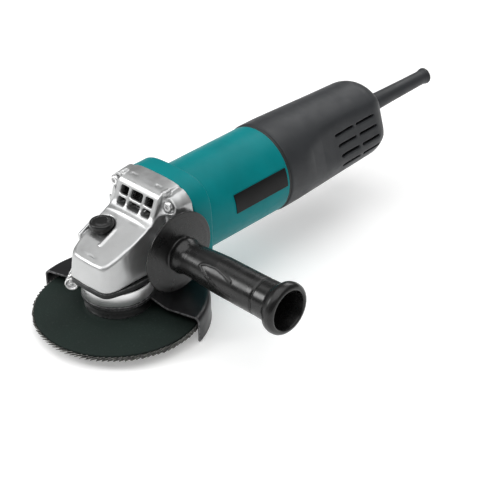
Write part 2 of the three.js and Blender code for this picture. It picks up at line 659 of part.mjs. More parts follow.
function cordClamp() {
  const strap = box(-12, 12, 221, 229, CORD_Z + 1, CORD_Z + 6);
  const holes = [-1, 1].map((side) => rod("Z", 1.9, 40, 70, { x: side * 9, y: 225, sides: 12 }));
  return cut(strap, rod("Y", 3.9, 210, 240, { z: CORD_Z, sides: 20 }), ...holes);
}

function armatureSlots(inner, outer, half, from, to) {
  return Array.from({ length: CORE.slots }, (_, i) => (
    box(inner, outer, -half, half, from, to).rotate([0, 0, (i * 360) / CORE.slots])
  )).map((bar) => bar.rotate([-90, 0, 0]).translate([0, 0, MOTOR_Z]));
}

function armatureCore() {
  const drum = ring("Y", SHAFT_RADIUS + GAP, CORE.radius, CORE.front, CORE.back, { z: MOTOR_Z });
  return cut(drum, ...armatureSlots(9.2, 30, 1.6, CORE.front - 1, CORE.back + 1));
}

function armatureWindings() {
  const end = (from, to) => turned("Y", [
    [7, from], [13, from], [16, (from + to) / 2], [15.4, to], [7, to],
  ], { z: MOTOR_Z, sides: 16 });
  const bars = armatureSlots(9.6, 15, 1.2, CORE.front - 2, CORE.back + 2);
  return join(end(57, CORE.front - GAP), end(118.5, CORE.back + GAP), ...bars);
}

function statorCore() {
  const lamination = ring("Y", 18.4, 28.3, CORE.front, CORE.back, { z: MOTOR_Z, sides: 40 });
  const flats = box(-25.2, 25.2, 60, 120, 0, 100);
  return cut(lamination.intersect(flats), ...fieldSlots(18, 24.4, 3.4, 60, 120));
}

const FIELD_ANGLES = [32, 148, 212, 328];

function fieldSlots(inner, outer, half, from, to, angles = FIELD_ANGLES) {
  return angles.map((turn) => (
    box(inner, outer, -half, half, from, to).rotate([0, 0, turn]).rotate([90, 0, 0])
      .translate([0, from + to, MOTOR_Z])
  ));
}

function fieldCoil(side) {
  const angles = side > 0 ? [32, 148] : [212, 328];
  const curve = [...arc(25.6, 27, 153, 10), ...arc(20.2, 153, 27, 10)];
  const outline = curve.map(([u, v]) => [u, MOTOR_Z + side * v]);
  const ends = [[57.5, CORE.front - GAP], [CORE.back + GAP, 117.5]].map(([from, to]) => (
    extruded("Y", outline, from, to)
  ));
  const bars = fieldSlots(20.4, 24, 2.9, CORE.front - 2, CORE.back + 2, angles);
  return join(...ends, ...bars);
}

function brushHolder(side) {
  const [near, far] = [COMMUTATOR.radius + 1.2, 24.6];
  const body = box(-5.2, 5.2, BRUSH_Y - 4.9, BRUSH_Y + 4.9, near, far);
  const bore = box(-3.6, 3.6, BRUSH_Y - 3.3, BRUSH_Y + 3.3, near - 1, far - 1.4);
  return cut(body, bore).scale([1, 1, side]).translate([0, 0, MOTOR_Z]);
}

function carbonBrush(side) {
  const block = box(-3.2, 3.2, BRUSH_Y - 2.9, BRUSH_Y + 2.9, COMMUTATOR.radius + 0.4, 20);
  return block.scale([1, 1, side]).translate([0, 0, MOTOR_Z]);
}

function brushSpring(side) {
  const spring = coil(2, 0.35, 20.8, 22.5, 3).translate(0, BRUSH_Y, MOTOR_Z);
  if (side < 0) spring.rotateX(Math.PI).translate(0, 2 * BRUSH_Y, 2 * MOTOR_Z);
  return solid(spring);
}

function armatureShaft() {
  return turned("Y", [
    [0, 21], [4, 21], [4, 26.9], [SHAFT_RADIUS, 26.9], [SHAFT_RADIUS, 137.4],
    [3.7, 137.4], [3.7, 147], [0, 147],
  ], { z: MOTOR_Z, sides: 20 });
}

const FAN_BLADES = 14;

function coolingFan() {
  const disc = turned("Y", [
    [SHAFT_RADIUS + GAP, 41.2], [9, 41.2], [11, 48], [29.4, 48.6], [29.4, 50], [SHAFT_RADIUS + GAP, 51],
  ], { z: MOTOR_Z });
  const blades = Array.from({ length: FAN_BLADES }, (_, i) => (
    box(14, 29, -0.8, 0.8, -49, -42.4).rotate([0, 0, (i * 360) / FAN_BLADES])
      .rotate([90, 0, 0]).translate([0, 0, MOTOR_Z])
  ));
  return join(disc, ...blades);
}

function commutator() {
  const { radius, front, back } = COMMUTATOR;
  return turned("Y", [
    [SHAFT_RADIUS + GAP, front], [radius + 1.2, front], [radius + 1.2, front + 1.6], [radius, front + 1.8],
    [radius, back], [SHAFT_RADIUS + GAP, back],
  ], { z: MOTOR_Z, sides: 24 });
}

// Slide switch on the -X side.
function switchSlider() {
  const { from, to, post } = SLIDER;
  const cap = extruded("X", rounded([
    [from, MOTOR_Z - 7.5, 4], [to, MOTOR_Z - 7.5, 4], [to, MOTOR_Z + 7.5, 4], [from, MOTOR_Z + 7.5, 4],
  ]), -36, -30);
  const ribs = [7, 10.5, 14, 17.5, 21].map((rib) => box(-37, -35.9, from + rib, from + rib + 1.5, 45, 57));
  const stem = box(-33.5, -28.6, post - 3, post + 3, MOTOR_Z - 2.2, MOTOR_Z + 2.2);
  return join(cut(join(cap, ...ribs), rod("Y", 32.1, 60, 130, { z: MOTOR_Z, sides: 64 })), stem);
}

function switchRod() {
  return box(-28.2, -25.9, SLIDER.post - 4, 151, MOTOR_Z - 3, MOTOR_Z + 3);
}

function switchBody() {
  const body = box(-22.5, -7, 152, 182, MOTOR_Z - 11, MOTOR_Z + 11);
  const plunger = box(-27, -22, 155, 161, MOTOR_Z - 2.4, MOTOR_Z + 2.4);
  const terminals = [-7, 7].map((z) => box(-17, -13, 181, 188, MOTOR_Z + z - 2, MOTOR_Z + z + 2));
  return join(body, plunger, ...terminals);
}

// Side handle, turned along +X.
function handleGrip() {
  const flange = BOSS_FACE_X + GAP;
  const outer = [
    [0, flange], [27.4, flange], [27.9, flange + 1], [27.4, flange + 2], [19, flange + 3],
    [11.4, 39.2], [12.4, 42.2], [10.8, 48.5], [11.3, 58], [12.4, 76], [12.7, 112], [13.3, 121.5],
    [16.2, 124.2], [17.3, 128], [16.4, HANDLE_END_X - 0.6], [15.4, HANDLE_END_X],
    [13.1, HANDLE_END_X], [10.9, 114.5], [0, 112.5],
  ];
  const place = { y: HANDLE_Y, z: MOTOR_Z, sides: 24 };
  return cut(turned("X", outer, place), rod("X", 4.35, 30, 52, { ...place, sides: 16 }));
}

function handleStud() {
  return rod("X", 4, 22.5, 51.5, { y: HANDLE_Y, z: MOTOR_Z, sides: 24 });
}

function labelPlate() {
  const [near, far] = [BARREL_RADIUS + 0.2, BARREL_RADIUS + 0.6];
  const { from, to, start, end } = LABEL;
  const centre = [0, MOTOR_Z];
  return extruded("Y", [...arc(far, from, to, 5, centre), ...arc(near, to, from, 5, centre)], start, end);
}

const M4 = { head: 3.5, headLength: 2.8, shank: 1.7, length: 24, hex: 1.6 };
const M3 = { head: 2.6, headLength: 2.2, shank: 1.4, length: 10.4, hex: 1.2 };

function fasteners() {
  const list = [];
  CASE_SCREWS.forEach(([x, rise], i) => {
    const at = { x, y: SCREW_SEAT_Y - 0.4, z: MOTOR_Z + rise };
    list.push([`gear_case_screw_${i + 1}`, screw("Y", at, M4), "steel"]);
  });
  BOX_SCREWS.forEach(([x, y], i) => {
    list.push([`bearing_box_screw_${i + 1}`, screw("Z", { x, y, z: 30.9 }, M3), "steel"]);
  });
  const rear = { y: COVER_SCREW_Y, z: 18.6 };
  list.push(["rear_cover_screw", screw("Z", rear, { ...M4, headLength: 1.6, length: 6 }), "steel"]);
  [-1, 1].forEach((side) => {
    const at = { x: side * 9, y: 225, z: CORD_Z + 6.3 };
    const name = side < 0 ? "cord_clamp_screw_left" : "cord_clamp_screw_right";
    list.push([name, screw("Z", at, { ...M3, length: 9, toward: -1, hex: 0 }), "steel"]);
  });
  return list;
}

const motorAt = { z: MOTOR_Z };
const PIECES = [
  ["gear_housing", gearHousing(), "casting"],
  ["bearing_box", bearingBox(), "dark"],
  ["spindle_bearing", ring("Z", 7.5, 17.5, 21.1, 32.1), "steel"],
  ["bearing_retainer", ring("Z", 12, 17.5, 32.5, 34.2), "dark"],
  ["spindle_bush", ring("Z", 4.3, 6, 49.2, 53.2), "brass"],
  ["spindle", spindle(), "steel"],
  ["crown_gear", crownGear(), "steel"],
  ["gear_circlip", ring("Z", 6.3, 8, 47.3, 48.2, { sides: 24 }), "steel"],
  ["inner_flange", innerFlange(), "gloss"],
  ["backing_plate", backingPlate(), "backing"],
  ["flap_ring", flapRing(), "abrasive"],
  ["lock_nut", lockNut(), "dark"],
  ["guard_shell", guardShell(), "gloss"],
  ["guard_collar", guardCollar(), "casting"],
  ["guard_clamp_screw", clampScrew(), "steel"],
  ["guard_clamp_nut", clampNut(), "steel"],
  ["lock_button_cap", lockButtonCap(), "gloss"],
  ["lock_pin", lockPin(), "steel"],
  ["lock_spring", solid(coil(3.8, 0.4, 57.8, 63, 4).translate(BUTTON.x, BUTTON.y, 0)), "steel"],
  ["motor_housing", motorHousing(), "teal"],
  ["rear_cover", rearCover(), "black"],
  ["label_plate", labelPlate(), "black"],
  ["baffle_plate", ring("Y", 20, 30.6, 52.4, 54, motorAt), "polymer"],
  ["stator_core", statorCore(), "laminate"],
  ["field_coil_upper", fieldCoil(1), "copper"],
  ["field_coil_lower", fieldCoil(-1), "copper"],
  ["armature_shaft", armatureShaft(), "steel"],
  ["armature_core", armatureCore(), "laminate"],
  ["armature_windings", armatureWindings(), "copper"],
  ["commutator", commutator(), "copper"],
  ["cooling_fan", coolingFan(), "polymer"],
  ["pinion", pinion(), "steel"],
  ["front_bearing", ring("Y", 5.3, 15, 27.2, 36.2, motorAt), "steel"],
  ["rear_bearing", ring("Y", 4, 11, 140.2, 147, motorAt), "steel"],
  ["brush_holder_upper", brushHolder(1), "brass"],
  ["brush_holder_lower", brushHolder(-1), "brass"],
  ["carbon_brush_upper", carbonBrush(1), "carbon"],
  ["carbon_brush_lower", carbonBrush(-1), "carbon"],
  ["brush_spring_upper", brushSpring(1), "steel"],
  ["brush_spring_lower", brushSpring(-1), "steel"],
  ["switch_slider", switchSlider(), "black"],
  ["switch_rod", switchRod(), "polymer"],
  ["switch_body", switchBody(), "carbon"],
  ["cord_guard", cordGuard(), "black"],
  ["cord_clamp", cordClamp(), "black"],
  ["side_handle", handleGrip(), "gloss"],
  ["handle_stud", handleStud(), "steel"],
  ...fasteners(),
];

const grinder = new THREE.Group();
grinder.name = "angle_grinder";
for (const [name, body, colour] of PIECES) grinder.add(meshOf(name, body, colour));

export default grinder;
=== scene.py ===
"""Looks for the angle grinder. The row frame in metres; sizes in the functions are millimetres."""
import json
import math

import bmesh
import bpy
import numpy as np
from mathutils import Matrix, Vector

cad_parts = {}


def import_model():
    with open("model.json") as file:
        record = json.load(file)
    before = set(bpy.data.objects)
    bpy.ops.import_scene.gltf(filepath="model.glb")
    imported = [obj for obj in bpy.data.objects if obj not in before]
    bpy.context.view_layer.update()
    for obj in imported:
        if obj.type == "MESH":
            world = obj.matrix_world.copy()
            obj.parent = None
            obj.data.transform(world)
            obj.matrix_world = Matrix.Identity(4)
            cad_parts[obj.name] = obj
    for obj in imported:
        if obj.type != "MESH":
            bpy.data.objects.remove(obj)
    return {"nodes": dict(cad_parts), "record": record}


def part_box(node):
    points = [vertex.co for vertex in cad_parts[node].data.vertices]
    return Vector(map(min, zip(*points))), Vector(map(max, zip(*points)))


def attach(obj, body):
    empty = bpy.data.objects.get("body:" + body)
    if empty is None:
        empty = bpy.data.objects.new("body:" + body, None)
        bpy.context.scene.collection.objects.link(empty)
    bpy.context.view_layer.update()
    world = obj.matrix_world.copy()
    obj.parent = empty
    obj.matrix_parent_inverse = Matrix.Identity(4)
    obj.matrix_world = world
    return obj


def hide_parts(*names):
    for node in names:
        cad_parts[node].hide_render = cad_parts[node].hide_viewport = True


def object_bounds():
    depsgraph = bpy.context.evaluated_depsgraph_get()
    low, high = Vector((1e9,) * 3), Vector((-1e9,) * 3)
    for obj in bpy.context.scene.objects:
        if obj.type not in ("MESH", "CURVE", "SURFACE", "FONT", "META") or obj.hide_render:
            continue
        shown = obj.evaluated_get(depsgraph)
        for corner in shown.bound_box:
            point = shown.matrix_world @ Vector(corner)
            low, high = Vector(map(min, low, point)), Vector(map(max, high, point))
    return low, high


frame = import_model()
cad_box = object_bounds()

MM = 0.001
TURN = 2 * math.pi

# Driving sizes, in millimetres, as the CAD model has them.
MOTOR_Z = 51
HANDLE_Y = 22.6
DISC_RADIUS = 57.5
JOINT_Y = 39.9
COLLAR_END_Y = 55.5
COLLAR = (34.5, 36.1, 35)  # half width, reach up and reach down
COLLAR_POWER = 3.6
BARREL_RADIUS = 31.6
BARREL_END_Y = 134
REAR_END_Y = 245
CASE_BOTTOM = 32.6
CASE_FRONT = -26.4
SLOPE, SLOPE_Z = 0.436, 60.9
GRILLE_FOOT, GRILLE_HEAD, GRILLE_HALF = (15.9, 67.8), (23.5, 84), 19.6
BUTTON = (-10.9, -0.4)
BUTTON_RADIUS, BUTTON_TOP, BUTTON_BOTTOM = 8.3, 65.8, 60.2
WELL_RADIUS, WELL_FLOOR = BUTTON_RADIUS + 0.6, 56.9
UPPER_SCREW, LOWER_SCREW = (25.2, MOTOR_Z + 28), (24.2, MOTOR_Z - 25.6)
BOSS_FACE_X = 34.9
CLAMP_ANGLE = math.radians(-144)
CLAMP = (28.7, 23.6)  # distance from the spindle axis, and height
BAND = (22.7, 23.9, 18.4, 28)  # the guard collar band: inner and outer radius, bottom and top
GUARD_TURN = math.radians(14.45)
GUARD_SET_BACK = 2.2
CORD_Z = 54.5
CORD_GUARD_END = 317
PAD = (3, 53)  # centre of the round pad on each side of the gear case
SEAT_Y = 26.8  # just ahead of where the CAD model's gear-case screws rest
COVER_SCREW = (0, 142)  # x and y of the screw that holds the rear cover from below
BOX_SCREWS = ((14, -18.3), (-14, -18.3), (17, 17), (-17, 17))

# ---------------------------------------------------------------- distance fields


def smax(fields, blend):
    """The common part of several fields, with its inner and outer edges rounded by blend."""
    whole = fields[0]
    for other in fields[1:]:
        share = np.clip(0.5 + 0.5 * (whole - other) / blend, 0, 1)
        whole = other + (whole - other) * share + blend * share * (1 - share)
    return whole


def smin(fields, blend):
    """Several fields joined, with the corners between them rounded by blend."""
    return -smax([-f for f in fields], blend)


def carve(body, tools, blend):
    """The body less every tool, with the edges rounded by blend."""
    return smax([body] + [-t for t in tools], blend)


def tube(p, axis, at, radius, low, high, rounding=0.5):
    """A solid rod along an axis. at is its centre in the other two coordinates."""
    u, v = [i for i in range(3) if i != axis]
    side = np.sqrt((p[u] - at[0]) ** 2 + (p[v] - at[1]) ** 2) - radius + rounding
    end = np.abs(p[axis] - (low + high) / 2) - (high - low) / 2 + rounding
    beyond = np.sqrt(np.maximum(side, 0) ** 2 + np.maximum(end, 0) ** 2)
    return np.minimum(np.maximum(side, end), 0) + beyond - rounding


def block(p, low, high, rounding=0.5):
    """A box from low to high with round edges."""
    q = [np.abs(c - (a + b) / 2) - (b - a) / 2 + rounding for c, a, b in zip(p, low, high)]
    beyond = np.sqrt(sum(np.maximum(c, 0) ** 2 for c in q))
    return np.minimum(np.maximum(np.maximum(q[0], q[1]), q[2]), 0) + beyond - rounding


def mirrored(p):
    """The point with x taken as its distance from the middle plane, for what both sides have."""
    return np.abs(p[0]), p[1], p[2]


def motor_rod(p, radius, low, high, rounding=0.5):
    return tube(p, 1, (0, MOTOR_Z), radius, low, high, rounding)


def spindle_rod(p, radius, low, high, rounding=0.5):
    return tube(p, 2, (0, 0), radius, low, high, rounding)


def handle_rod(p, radius, low, high, rounding=0.5):
    """A rod on each side, on the side handle's axis."""
    return tube(mirrored(p), 0, (HANDLE_Y, MOTOR_Z), radius, low, high, rounding)


def hexagon(u, v, reach):
    """The six sides of a hexagon, each as far from its centre."""
    return [math.cos(a) * u + math.sin(a) * v - reach for a in np.arange(6) * TURN / 6]


def plane(u, v, start, end):
    """Distance right of the line from start to end, in two coordinates."""
    du, dv = end[0] - start[0], end[1] - start[1]
    length = math.hypot(du, dv)
    return ((u - start[0]) * dv - (v - start[1]) * du) / length


def chain(u, v, points):
    """Distance to a line through several points, in two coordinates."""
    best = None
    for a, b in zip(points, points[1:]):
        du, dv = b[0] - a[0], b[1] - a[1]
        t = np.clip(((u - a[0]) * du + (v - a[1]) * dv) / (du * du + dv * dv), 0, 1)
        gap = np.sqrt((u - a[0] - t * du) ** 2 + (v - a[1] - t * dv) ** 2)
        best = gap if best is None else np.minimum(best, gap)
    return best


def rounded_square(x, z, half, up, down):
    """The collar's outline round the motor axis."""
    rise = z - MOTOR_Z
    reach = np.where(rise > 0, up, down)
    power = COLLAR_POWER
    ratio = ((np.abs(x) / half) ** power + (np.abs(rise) / reach) ** power) ** (1 / power)
    return np.sqrt(x**2 + rise**2) * (1 - 1 / np.maximum(ratio, 1e-3))


def collar_outline(x, z, more):
    """The collar's outline, larger all round."""
    return rounded_square(x, z, *(reach + more for reach in COLLAR))


def clamp_frame(x, y):
    """Coordinates turned into the clamp's frame."""
    cosine, sine = math.cos(CLAMP_ANGLE), math.sin(CLAMP_ANGLE)
    return x * cosine + y * sine, -x * sine + y * cosine


# ---------------------------------------------------------------- meshes

CORNERS = [(i, j, k) for i in (0, 1) for j in (0, 1) for k in (0, 1)]


def surface(axes, d):
    """Vertices and quads of the surface where d changes sign: one vertex in each cell it passes through."""
    solid = d < 0
    n = [s - 1 for s in d.shape]
    count = sum(solid[i:n[0] + i, j:n[1] + j, k:n[2] + k].astype(np.int8) for i, j, k in CORNERS)
    cells = np.argwhere((count > 0) & (count < 8))
    values = np.stack([d[cells[:, 0] + i, cells[:, 1] + j, cells[:, 2] + k] for i, j, k in CORNERS], 1)
    total, hits = np.zeros((len(cells), 3)), np.zeros(len(cells))
    for a, from_corner in enumerate(CORNERS):
        for b, to_corner in enumerate(CORNERS[:a]):
            way = np.subtract(to_corner, from_corner)
            if np.abs(way).sum() != 1:
                continue
            crossed = (values[:, a] < 0) != (values[:, b] < 0)
            t = values[crossed, a] / (values[crossed, a] - values[crossed, b])
            total[crossed] += np.array(from_corner) + t[:, None] * way
            hits[crossed] += 1
    step = [axis[1] - axis[0] for axis in axes]
    vertices = np.array([axis[0] for axis in axes]) + (cells + total / hits[:, None]) * step
    number = np.full(n, -1, np.int64)
    number[tuple(cells.T)] = np.arange(len(cells))
    quads = []
    for axis in range(3):
        first, last = [slice(None)] * 3, [slice(None)] * 3
        first[axis], last[axis] = slice(None, -1), slice(1, None)
        here = np.argwhere(solid[tuple(first)] != solid[tuple(last)])
        u, v = np.eye(3, dtype=int)[(axis + 1) % 3], np.eye(3, dtype=int)[(axis + 2) % 3]
        ring = np.stack([number[tuple((here - s).T)] for s in (0 * u, u, u + v, v)], 1)
        outward = solid[tuple(here.T)]
        quads.append(np.where(outward[:, None], ring, ring[:, ::-1]))
    return vertices, np.concatenate(quads)


def mesh_object(name, vertices, faces, smooth=True):
    """A mesh from points in millimetres and faces of equal size."""
    mesh = bpy.data.meshes.new(name)
    sides = faces.shape[1]
    mesh.vertices.add(len(vertices))
    mesh.vertices.foreach_set("co", (vertices * MM).astype(np.float32).ravel())
    mesh.loops.add(faces.size)
    mesh.loops.foreach_set("vertex_index", faces.astype(np.int32).ravel())
    mesh.polygons.add(len(faces))
    mesh.polygons.foreach_set("loop_start", np.arange(0, faces.size, sides, dtype=np.int32))
    mesh.polygons.foreach_set("use_smooth", np.full(len(faces), smooth))
    mesh.update(calc_edges=True)
    mesh.validate()
    made = bpy.data.objects.new(name, mesh)
    bpy.context.scene.collection.objects.link(made)
    return made


def moulded(name, low, high, cell, field):
    """A piece from a distance field over the box from low to high."""
    axes = [np.arange(a - 2 * cell, b + 3 * cell, cell, dtype=np.float32) for a, b in zip(low, high)]
    p = np.meshgrid(*axes, indexing="ij", sparse=True)
    d = np.broadcast_to(field(p), [len(a) for a in axes]).astype(np.float32)
    for side in (d, d.swapaxes(0, 1), d.swapaxes(0, 2)):
        side[[0, -1]] = np.maximum(side[[0, -1]], cell)
    return mesh_object(name, *surface(axes, d))


def node_box(name, margin=0.4):
    """A CAD node's box in millimetres, a little larger all round."""
    low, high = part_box(name)
    return [c / MM - margin for c in low], [c / MM + margin for c in high]


AXES = {
    "X": lambda r, s, h: (h, r, s),
    "Y": lambda r, s, h: (s, h, r),
    "Z": lambda r, s, h: (r, s, h),
}


def turned(name, axis, profile, at=(0, 0, 0), sides=96, gap=None):
    """A shape turned about an axis. profile is [radius, distance], from end to end or closed on itself.
    gap is the centre and half width, in radians, of a part of the turn that is left out."""
    points = np.array(profile, float)
    closed = points[0][0] > 0 or points[-1][0] > 0
    angles = np.arange(sides) * TURN / sides
    if gap:
        angles = np.linspace(gap[0] + gap[1], gap[0] + TURN - gap[1], sides)
    rows = len(points)
    r, h = points[:, 0][:, None], points[:, 1][:, None]
    x, y, z = AXES[axis](r * np.cos(angles), r * np.sin(angles), h + 0 * angles)
    vertices = np.stack([x, y, z], 2).reshape(-1, 3) + np.array(at)
    steps = sides - 1 if gap else sides
    i, j = np.meshgrid(np.arange(rows if closed else rows - 1), np.arange(steps), indexing="ij")
    k, m = (i + 1) % rows, (j + 1) % sides
    quads = np.stack([i * sides + j, i * sides + m, k * sides + m, k * sides + j], 2).reshape(-1, 4)
    made = mesh_object(name, vertices, quads)
    tidy(made)
    return made


def tidy(made):
    """Joins doubled points and turns every face outwards."""
    work = bmesh.new()
    work.from_mesh(made.data)
    bmesh.ops.holes_fill(work, edges=work.edges, sides=0)
    bmesh.ops.remove_doubles(work, verts=work.verts, dist=1e-6)
    bmesh.ops.dissolve_degenerate(work, edges=work.edges, dist=1e-7)
    bmesh.ops.recalc_face_normals(work, faces=work.faces)
    if work.calc_volume(signed=True) < 0:
        bmesh.ops.reverse_faces(work, faces=work.faces)
    work.to_mesh(made.data)
    work.free()
    made.data.polygons.foreach_set("use_smooth", [True] * len(made.data.polygons))


def soften(made, width, angle=25, segments=2):
    """Rounds the piece's sharp edges."""
    edge = made.modifiers.new("edges", "BEVEL")
    edge.width = width * MM
    edge.segments = segments
    edge.limit_method = "ANGLE"
    edge.angle_limit = math.radians(angle)
    edge.harden_normals = True
    return made


def arc_points(centre, radius, start, end, count):
    """Points along an arc, from one angle to another in degrees."""
    angles = np.radians(np.linspace(start, end, count))
    return [(centre[0] + radius * math.cos(a), centre[1] + radius * math.sin(a)) for a in angles]


def sheet_faces(rows, columns, base=0):
    """Faces of a thin sheet: two layers of points, one after the other, closed along the edge."""
    layer = rows * columns
    faces = []
    for i in range(rows - 1):
        for j in range(columns - 1):
            a = base + i * columns + j
            quad = (a, a + 1, a + columns + 1, a + columns)
            faces.append(quad)
            faces.append(tuple(v + layer for v in reversed(quad)))
    edge = [base + j for j in range(columns)]
    edge += [base + i * columns + columns - 1 for i in range(1, rows)]
    edge += [base + (rows - 1) * columns + j for j in range(columns - 2, -1, -1)]
    edge += [base + i * columns for i in range(rows - 2, 0, -1)]
    for a, b in zip(edge, edge[1:] + edge[:1]):
        faces.append((b, a, a + layer, b + layer))
    return faces


# ---------------------------------------------------------------- materials


class Nodes:
    """A short way to write a material's nodes."""

    def __init__(self, name):
        self.material = bpy.data.materials.new(name)
        self.material.use_nodes = True
        self.tree = self.material.node_tree
        self.shader = self.tree.nodes["Principled BSDF"]
        self.place = self.add("ShaderNodeTexCoord").outputs["Object"]

    def add(self, kind, values=None, **settings):
        made = self.tree.nodes.new(kind)
        for key, value in settings.items():
            setattr(made, key, value)
        for key, value in (values or {}).items():
            if isinstance(value, bpy.types.NodeSocket):
                self.tree.links.new(value, made.inputs[key])
            else:
                made.inputs[key].default_value = value
        return made

    def noise(self, scale, detail=3.0, stretch=None, distortion=0.0):
        place = self.place
        if stretch:
            place = self.add("ShaderNodeMapping", {"Vector": place, "Scale": stretch}).outputs["Vector"]
        values = {"Vector": place, "Scale": scale, "Detail": detail, "Distortion": distortion}
        return self.add("ShaderNodeTexNoise", values).outputs["Fac"]

    def ranged(self, value, low, high, to_low, to_high):
        values = {"Value": value, "From Min": low, "From Max": high, "To Min": to_low, "To Max": to_high}
        return self.add("ShaderNodeMapRange", values).outputs["Result"]

    def mix(self, share, a, b):
        made = self.add("ShaderNodeMix", data_type="RGBA")
        for socket, value in ((made.inputs[0], share), (made.inputs[6], a), (made.inputs[7], b)):
            if isinstance(value, bpy.types.NodeSocket):
                self.tree.links.new(value, socket)
            else:
                socket.default_value = value
        return made.outputs[2]

    def bump(self, height, distance, strength=1.0, under=None):
        values = {"Height": height, "Distance": distance * MM, "Strength": strength}
        if under:
            values["Normal"] = under
        return self.add("ShaderNodeBump", values).outputs["Normal"]

    def finish(self, colour, rough, normal=None, **sockets):
        for key, value in {"Base Color": colour, "Roughness": rough, "Normal": normal}.items():
            if isinstance(value, bpy.types.NodeSocket):
                self.tree.links.new(value, self.shader.inputs[key])
            elif value is not None:
                self.shader.inputs[key].default_value = value
        for key, value in sockets.items():
            self.shader.inputs[key.replace("_", " ").title().replace("Ior", "IOR")].default_value = value
        return self.material


def rgba(r, g, b):
    return (r, g, b, 1)


def shade(colour, factor):
    return tuple(c * factor for c in colour[:3]) + (1,)


def plastic(name, colour, rough, grain=0.35, depth=0.012, worn=0.12, specular=0.4):
    """Moulded plastic: fine spark-eroded grain, faint clouding and paler rubbed edges."""
    n = Nodes(name)
    cloud = n.ranged(n.noise(38, 4), 0.3, 0.7, 0, 1)
    body = n.mix(cloud, shade(colour, 0.92), shade(colour, 1.08))
    edge = n.add("ShaderNodeNewGeometry").outputs["Pointiness"]
    rubbed = n.ranged(edge, 0.52, 0.6, 0, worn)
    body = n.mix(rubbed, body, rgba(*(min(1, c * 1.5 + 0.06) for c in colour[:3])))
    fine = n.noise(1000 / grain, 2)
    scuffs = n.noise(90, 6, distortion=0.6)
    gloss = n.ranged(scuffs, 0.35, 0.7, rough - 0.05, rough + 0.09)
    normal = n.bump(fine, depth, 0.8)
    normal = n.bump(n.noise(60, 2), 0.05, 0.25, normal)
    return n.finish(body, gloss, normal, specular_ior_level=specular)


def cast_metal(name, colour, rough=0.36):
    """Blasted die-cast aluminium with a faint skin texture, and a painted highlight that lightens its
    edges.
    """
    n = Nodes(name)
    cloud = n.ranged(n.noise(55, 5), 0.3, 0.7, 0, 1)
    body = n.mix(cloud, shade(colour, 0.93), shade(colour, 1.05))
    # Painted highlight: sharp edges, found by pointiness, are mixed toward pale grey.
    edge = n.add("ShaderNodeNewGeometry").outputs["Pointiness"]
    body = n.mix(n.ranged(edge, 0.51, 0.58, 0, 0.25), body, rgba(0.9, 0.9, 0.9))
    pits = n.ranged(n.noise(1500, 3), 0.25, 0.75, 0, 1)
    body = n.mix(n.ranged(pits, 0.0, 0.35, 0.25, 0), body, shade(colour, 0.6))
    gloss = n.ranged(n.noise(220, 4), 0.3, 0.7, rough - 0.05, rough + 0.08)
    normal = n.bump(pits, 0.01, 0.5)
    return n.finish(body, gloss, normal, metallic=0.82)


def steel(name, colour, rough=0.28, stretch=(1, 1, 30), depth=0.002):
    """Machined or plated steel with fine turning lines."""
    n = Nodes(name)
    lines = n.noise(160, 4, stretch)
    body = n.mix(n.ranged(lines, 0.3, 0.7, 0, 1), shade(colour, 0.93), shade(colour, 1.06))
    stain = n.ranged(n.noise(140, 5), 0.55, 0.75, 0, 0.15)
    body = n.mix(stain, body, shade(colour, 0.6))
    gloss = n.ranged(lines, 0.3, 0.7, rough - 0.04, rough + 0.06)
    return n.finish(body, gloss, n.bump(lines, depth, 0.5), metallic=1.0)


def plated(name, colour, rough):
    """Smooth bright zinc plate, faintly clouded."""
    n = Nodes(name)
    cloud = n.ranged(n.noise(70, 4), 0.3, 0.7, 0, 1)
    body = n.mix(cloud, shade(colour, 0.94), shade(colour, 1.04))
    gloss = n.ranged(n.noise(90, 3), 0.3, 0.7, rough - 0.03, rough + 0.04)
    return n.finish(body, gloss, n.bump(n.noise(400, 2), 0.003, 0.3), metallic=0.9)


def painted(name, colour, rough=0.34):
    """Powder coat: slight orange peel, and sharp edges turned pale grey in patches, partly paint worn
    through to the metal and partly a painted highlight.
    """
    n = Nodes(name)
    cloud = n.ranged(n.noise(45, 3), 0.3, 0.7, 0, 1)
    body = n.mix(cloud, shade(colour, 0.9), shade(colour, 1.12))
    # Sharp edges turn pale grey in patches: partly paint worn through to the metal, partly a painted
    # highlight along the edges.
    edge = n.add("ShaderNodeNewGeometry").outputs["Pointiness"]
    chips = n.noise(500, 4)
    worn_edge_and_highlight = n.ranged(edge, 0.515, 0.58, 0, 0.6)
    patchy = {0: worn_edge_and_highlight, 1: n.ranged(chips, 0.4, 0.6, 0.2, 1)}
    worn_edge_and_highlight = n.add("ShaderNodeMath", patchy, operation="MULTIPLY").outputs[0]
    body = n.mix(worn_edge_and_highlight, body, rgba(0.45, 0.45, 0.46))
    gloss = n.ranged(n.noise(150, 4), 0.3, 0.7, rough - 0.05, rough + 0.08)
    normal = n.bump(n.noise(700, 1), 0.02, 0.5)
    return n.finish(body, gloss, normal, coat_weight=0.1, coat_roughness=0.15, specular_ior_level=0.35)


def fibreglass(name, colour):
    """Resin-bonded glass cloth: a fine square weave under a matt skin."""
    n = Nodes(name)
    weaves = []
    for direction in ("X", "Y"):
        values = {"Vector": n.place, "Scale": 320, "Distortion": 0.4, "Detail": 1}
        weaves.append(n.add("ShaderNodeTexWave", values, bands_direction=direction).outputs["Fac"])
    cloth = n.add("ShaderNodeMath", {0: weaves[0], 1: weaves[1]}, operation="MULTIPLY").outputs[0]
    cloud = n.ranged(n.noise(40, 5), 0.3, 0.7, 0, 1)
    body = n.mix(cloud, shade(colour, 0.85), shade(colour, 1.15))
    body = n.mix(n.ranged(cloth, 0, 1, 0, 0.16), body, shade(colour, 1.9))
    dust = n.ranged(n.noise(900, 4), 0.58, 0.74, 0, 0.12)
    body = n.mix(dust, body, rgba(0.12, 0.14, 0.13))
    normal = n.bump(n.noise(1200, 3), 0.02, 0.5, n.bump(cloth, 0.03, 0.5))
    return n.finish(body, n.ranged(cloud, 0, 1, 0.7, 0.85), normal, specular_ior_level=0.2)


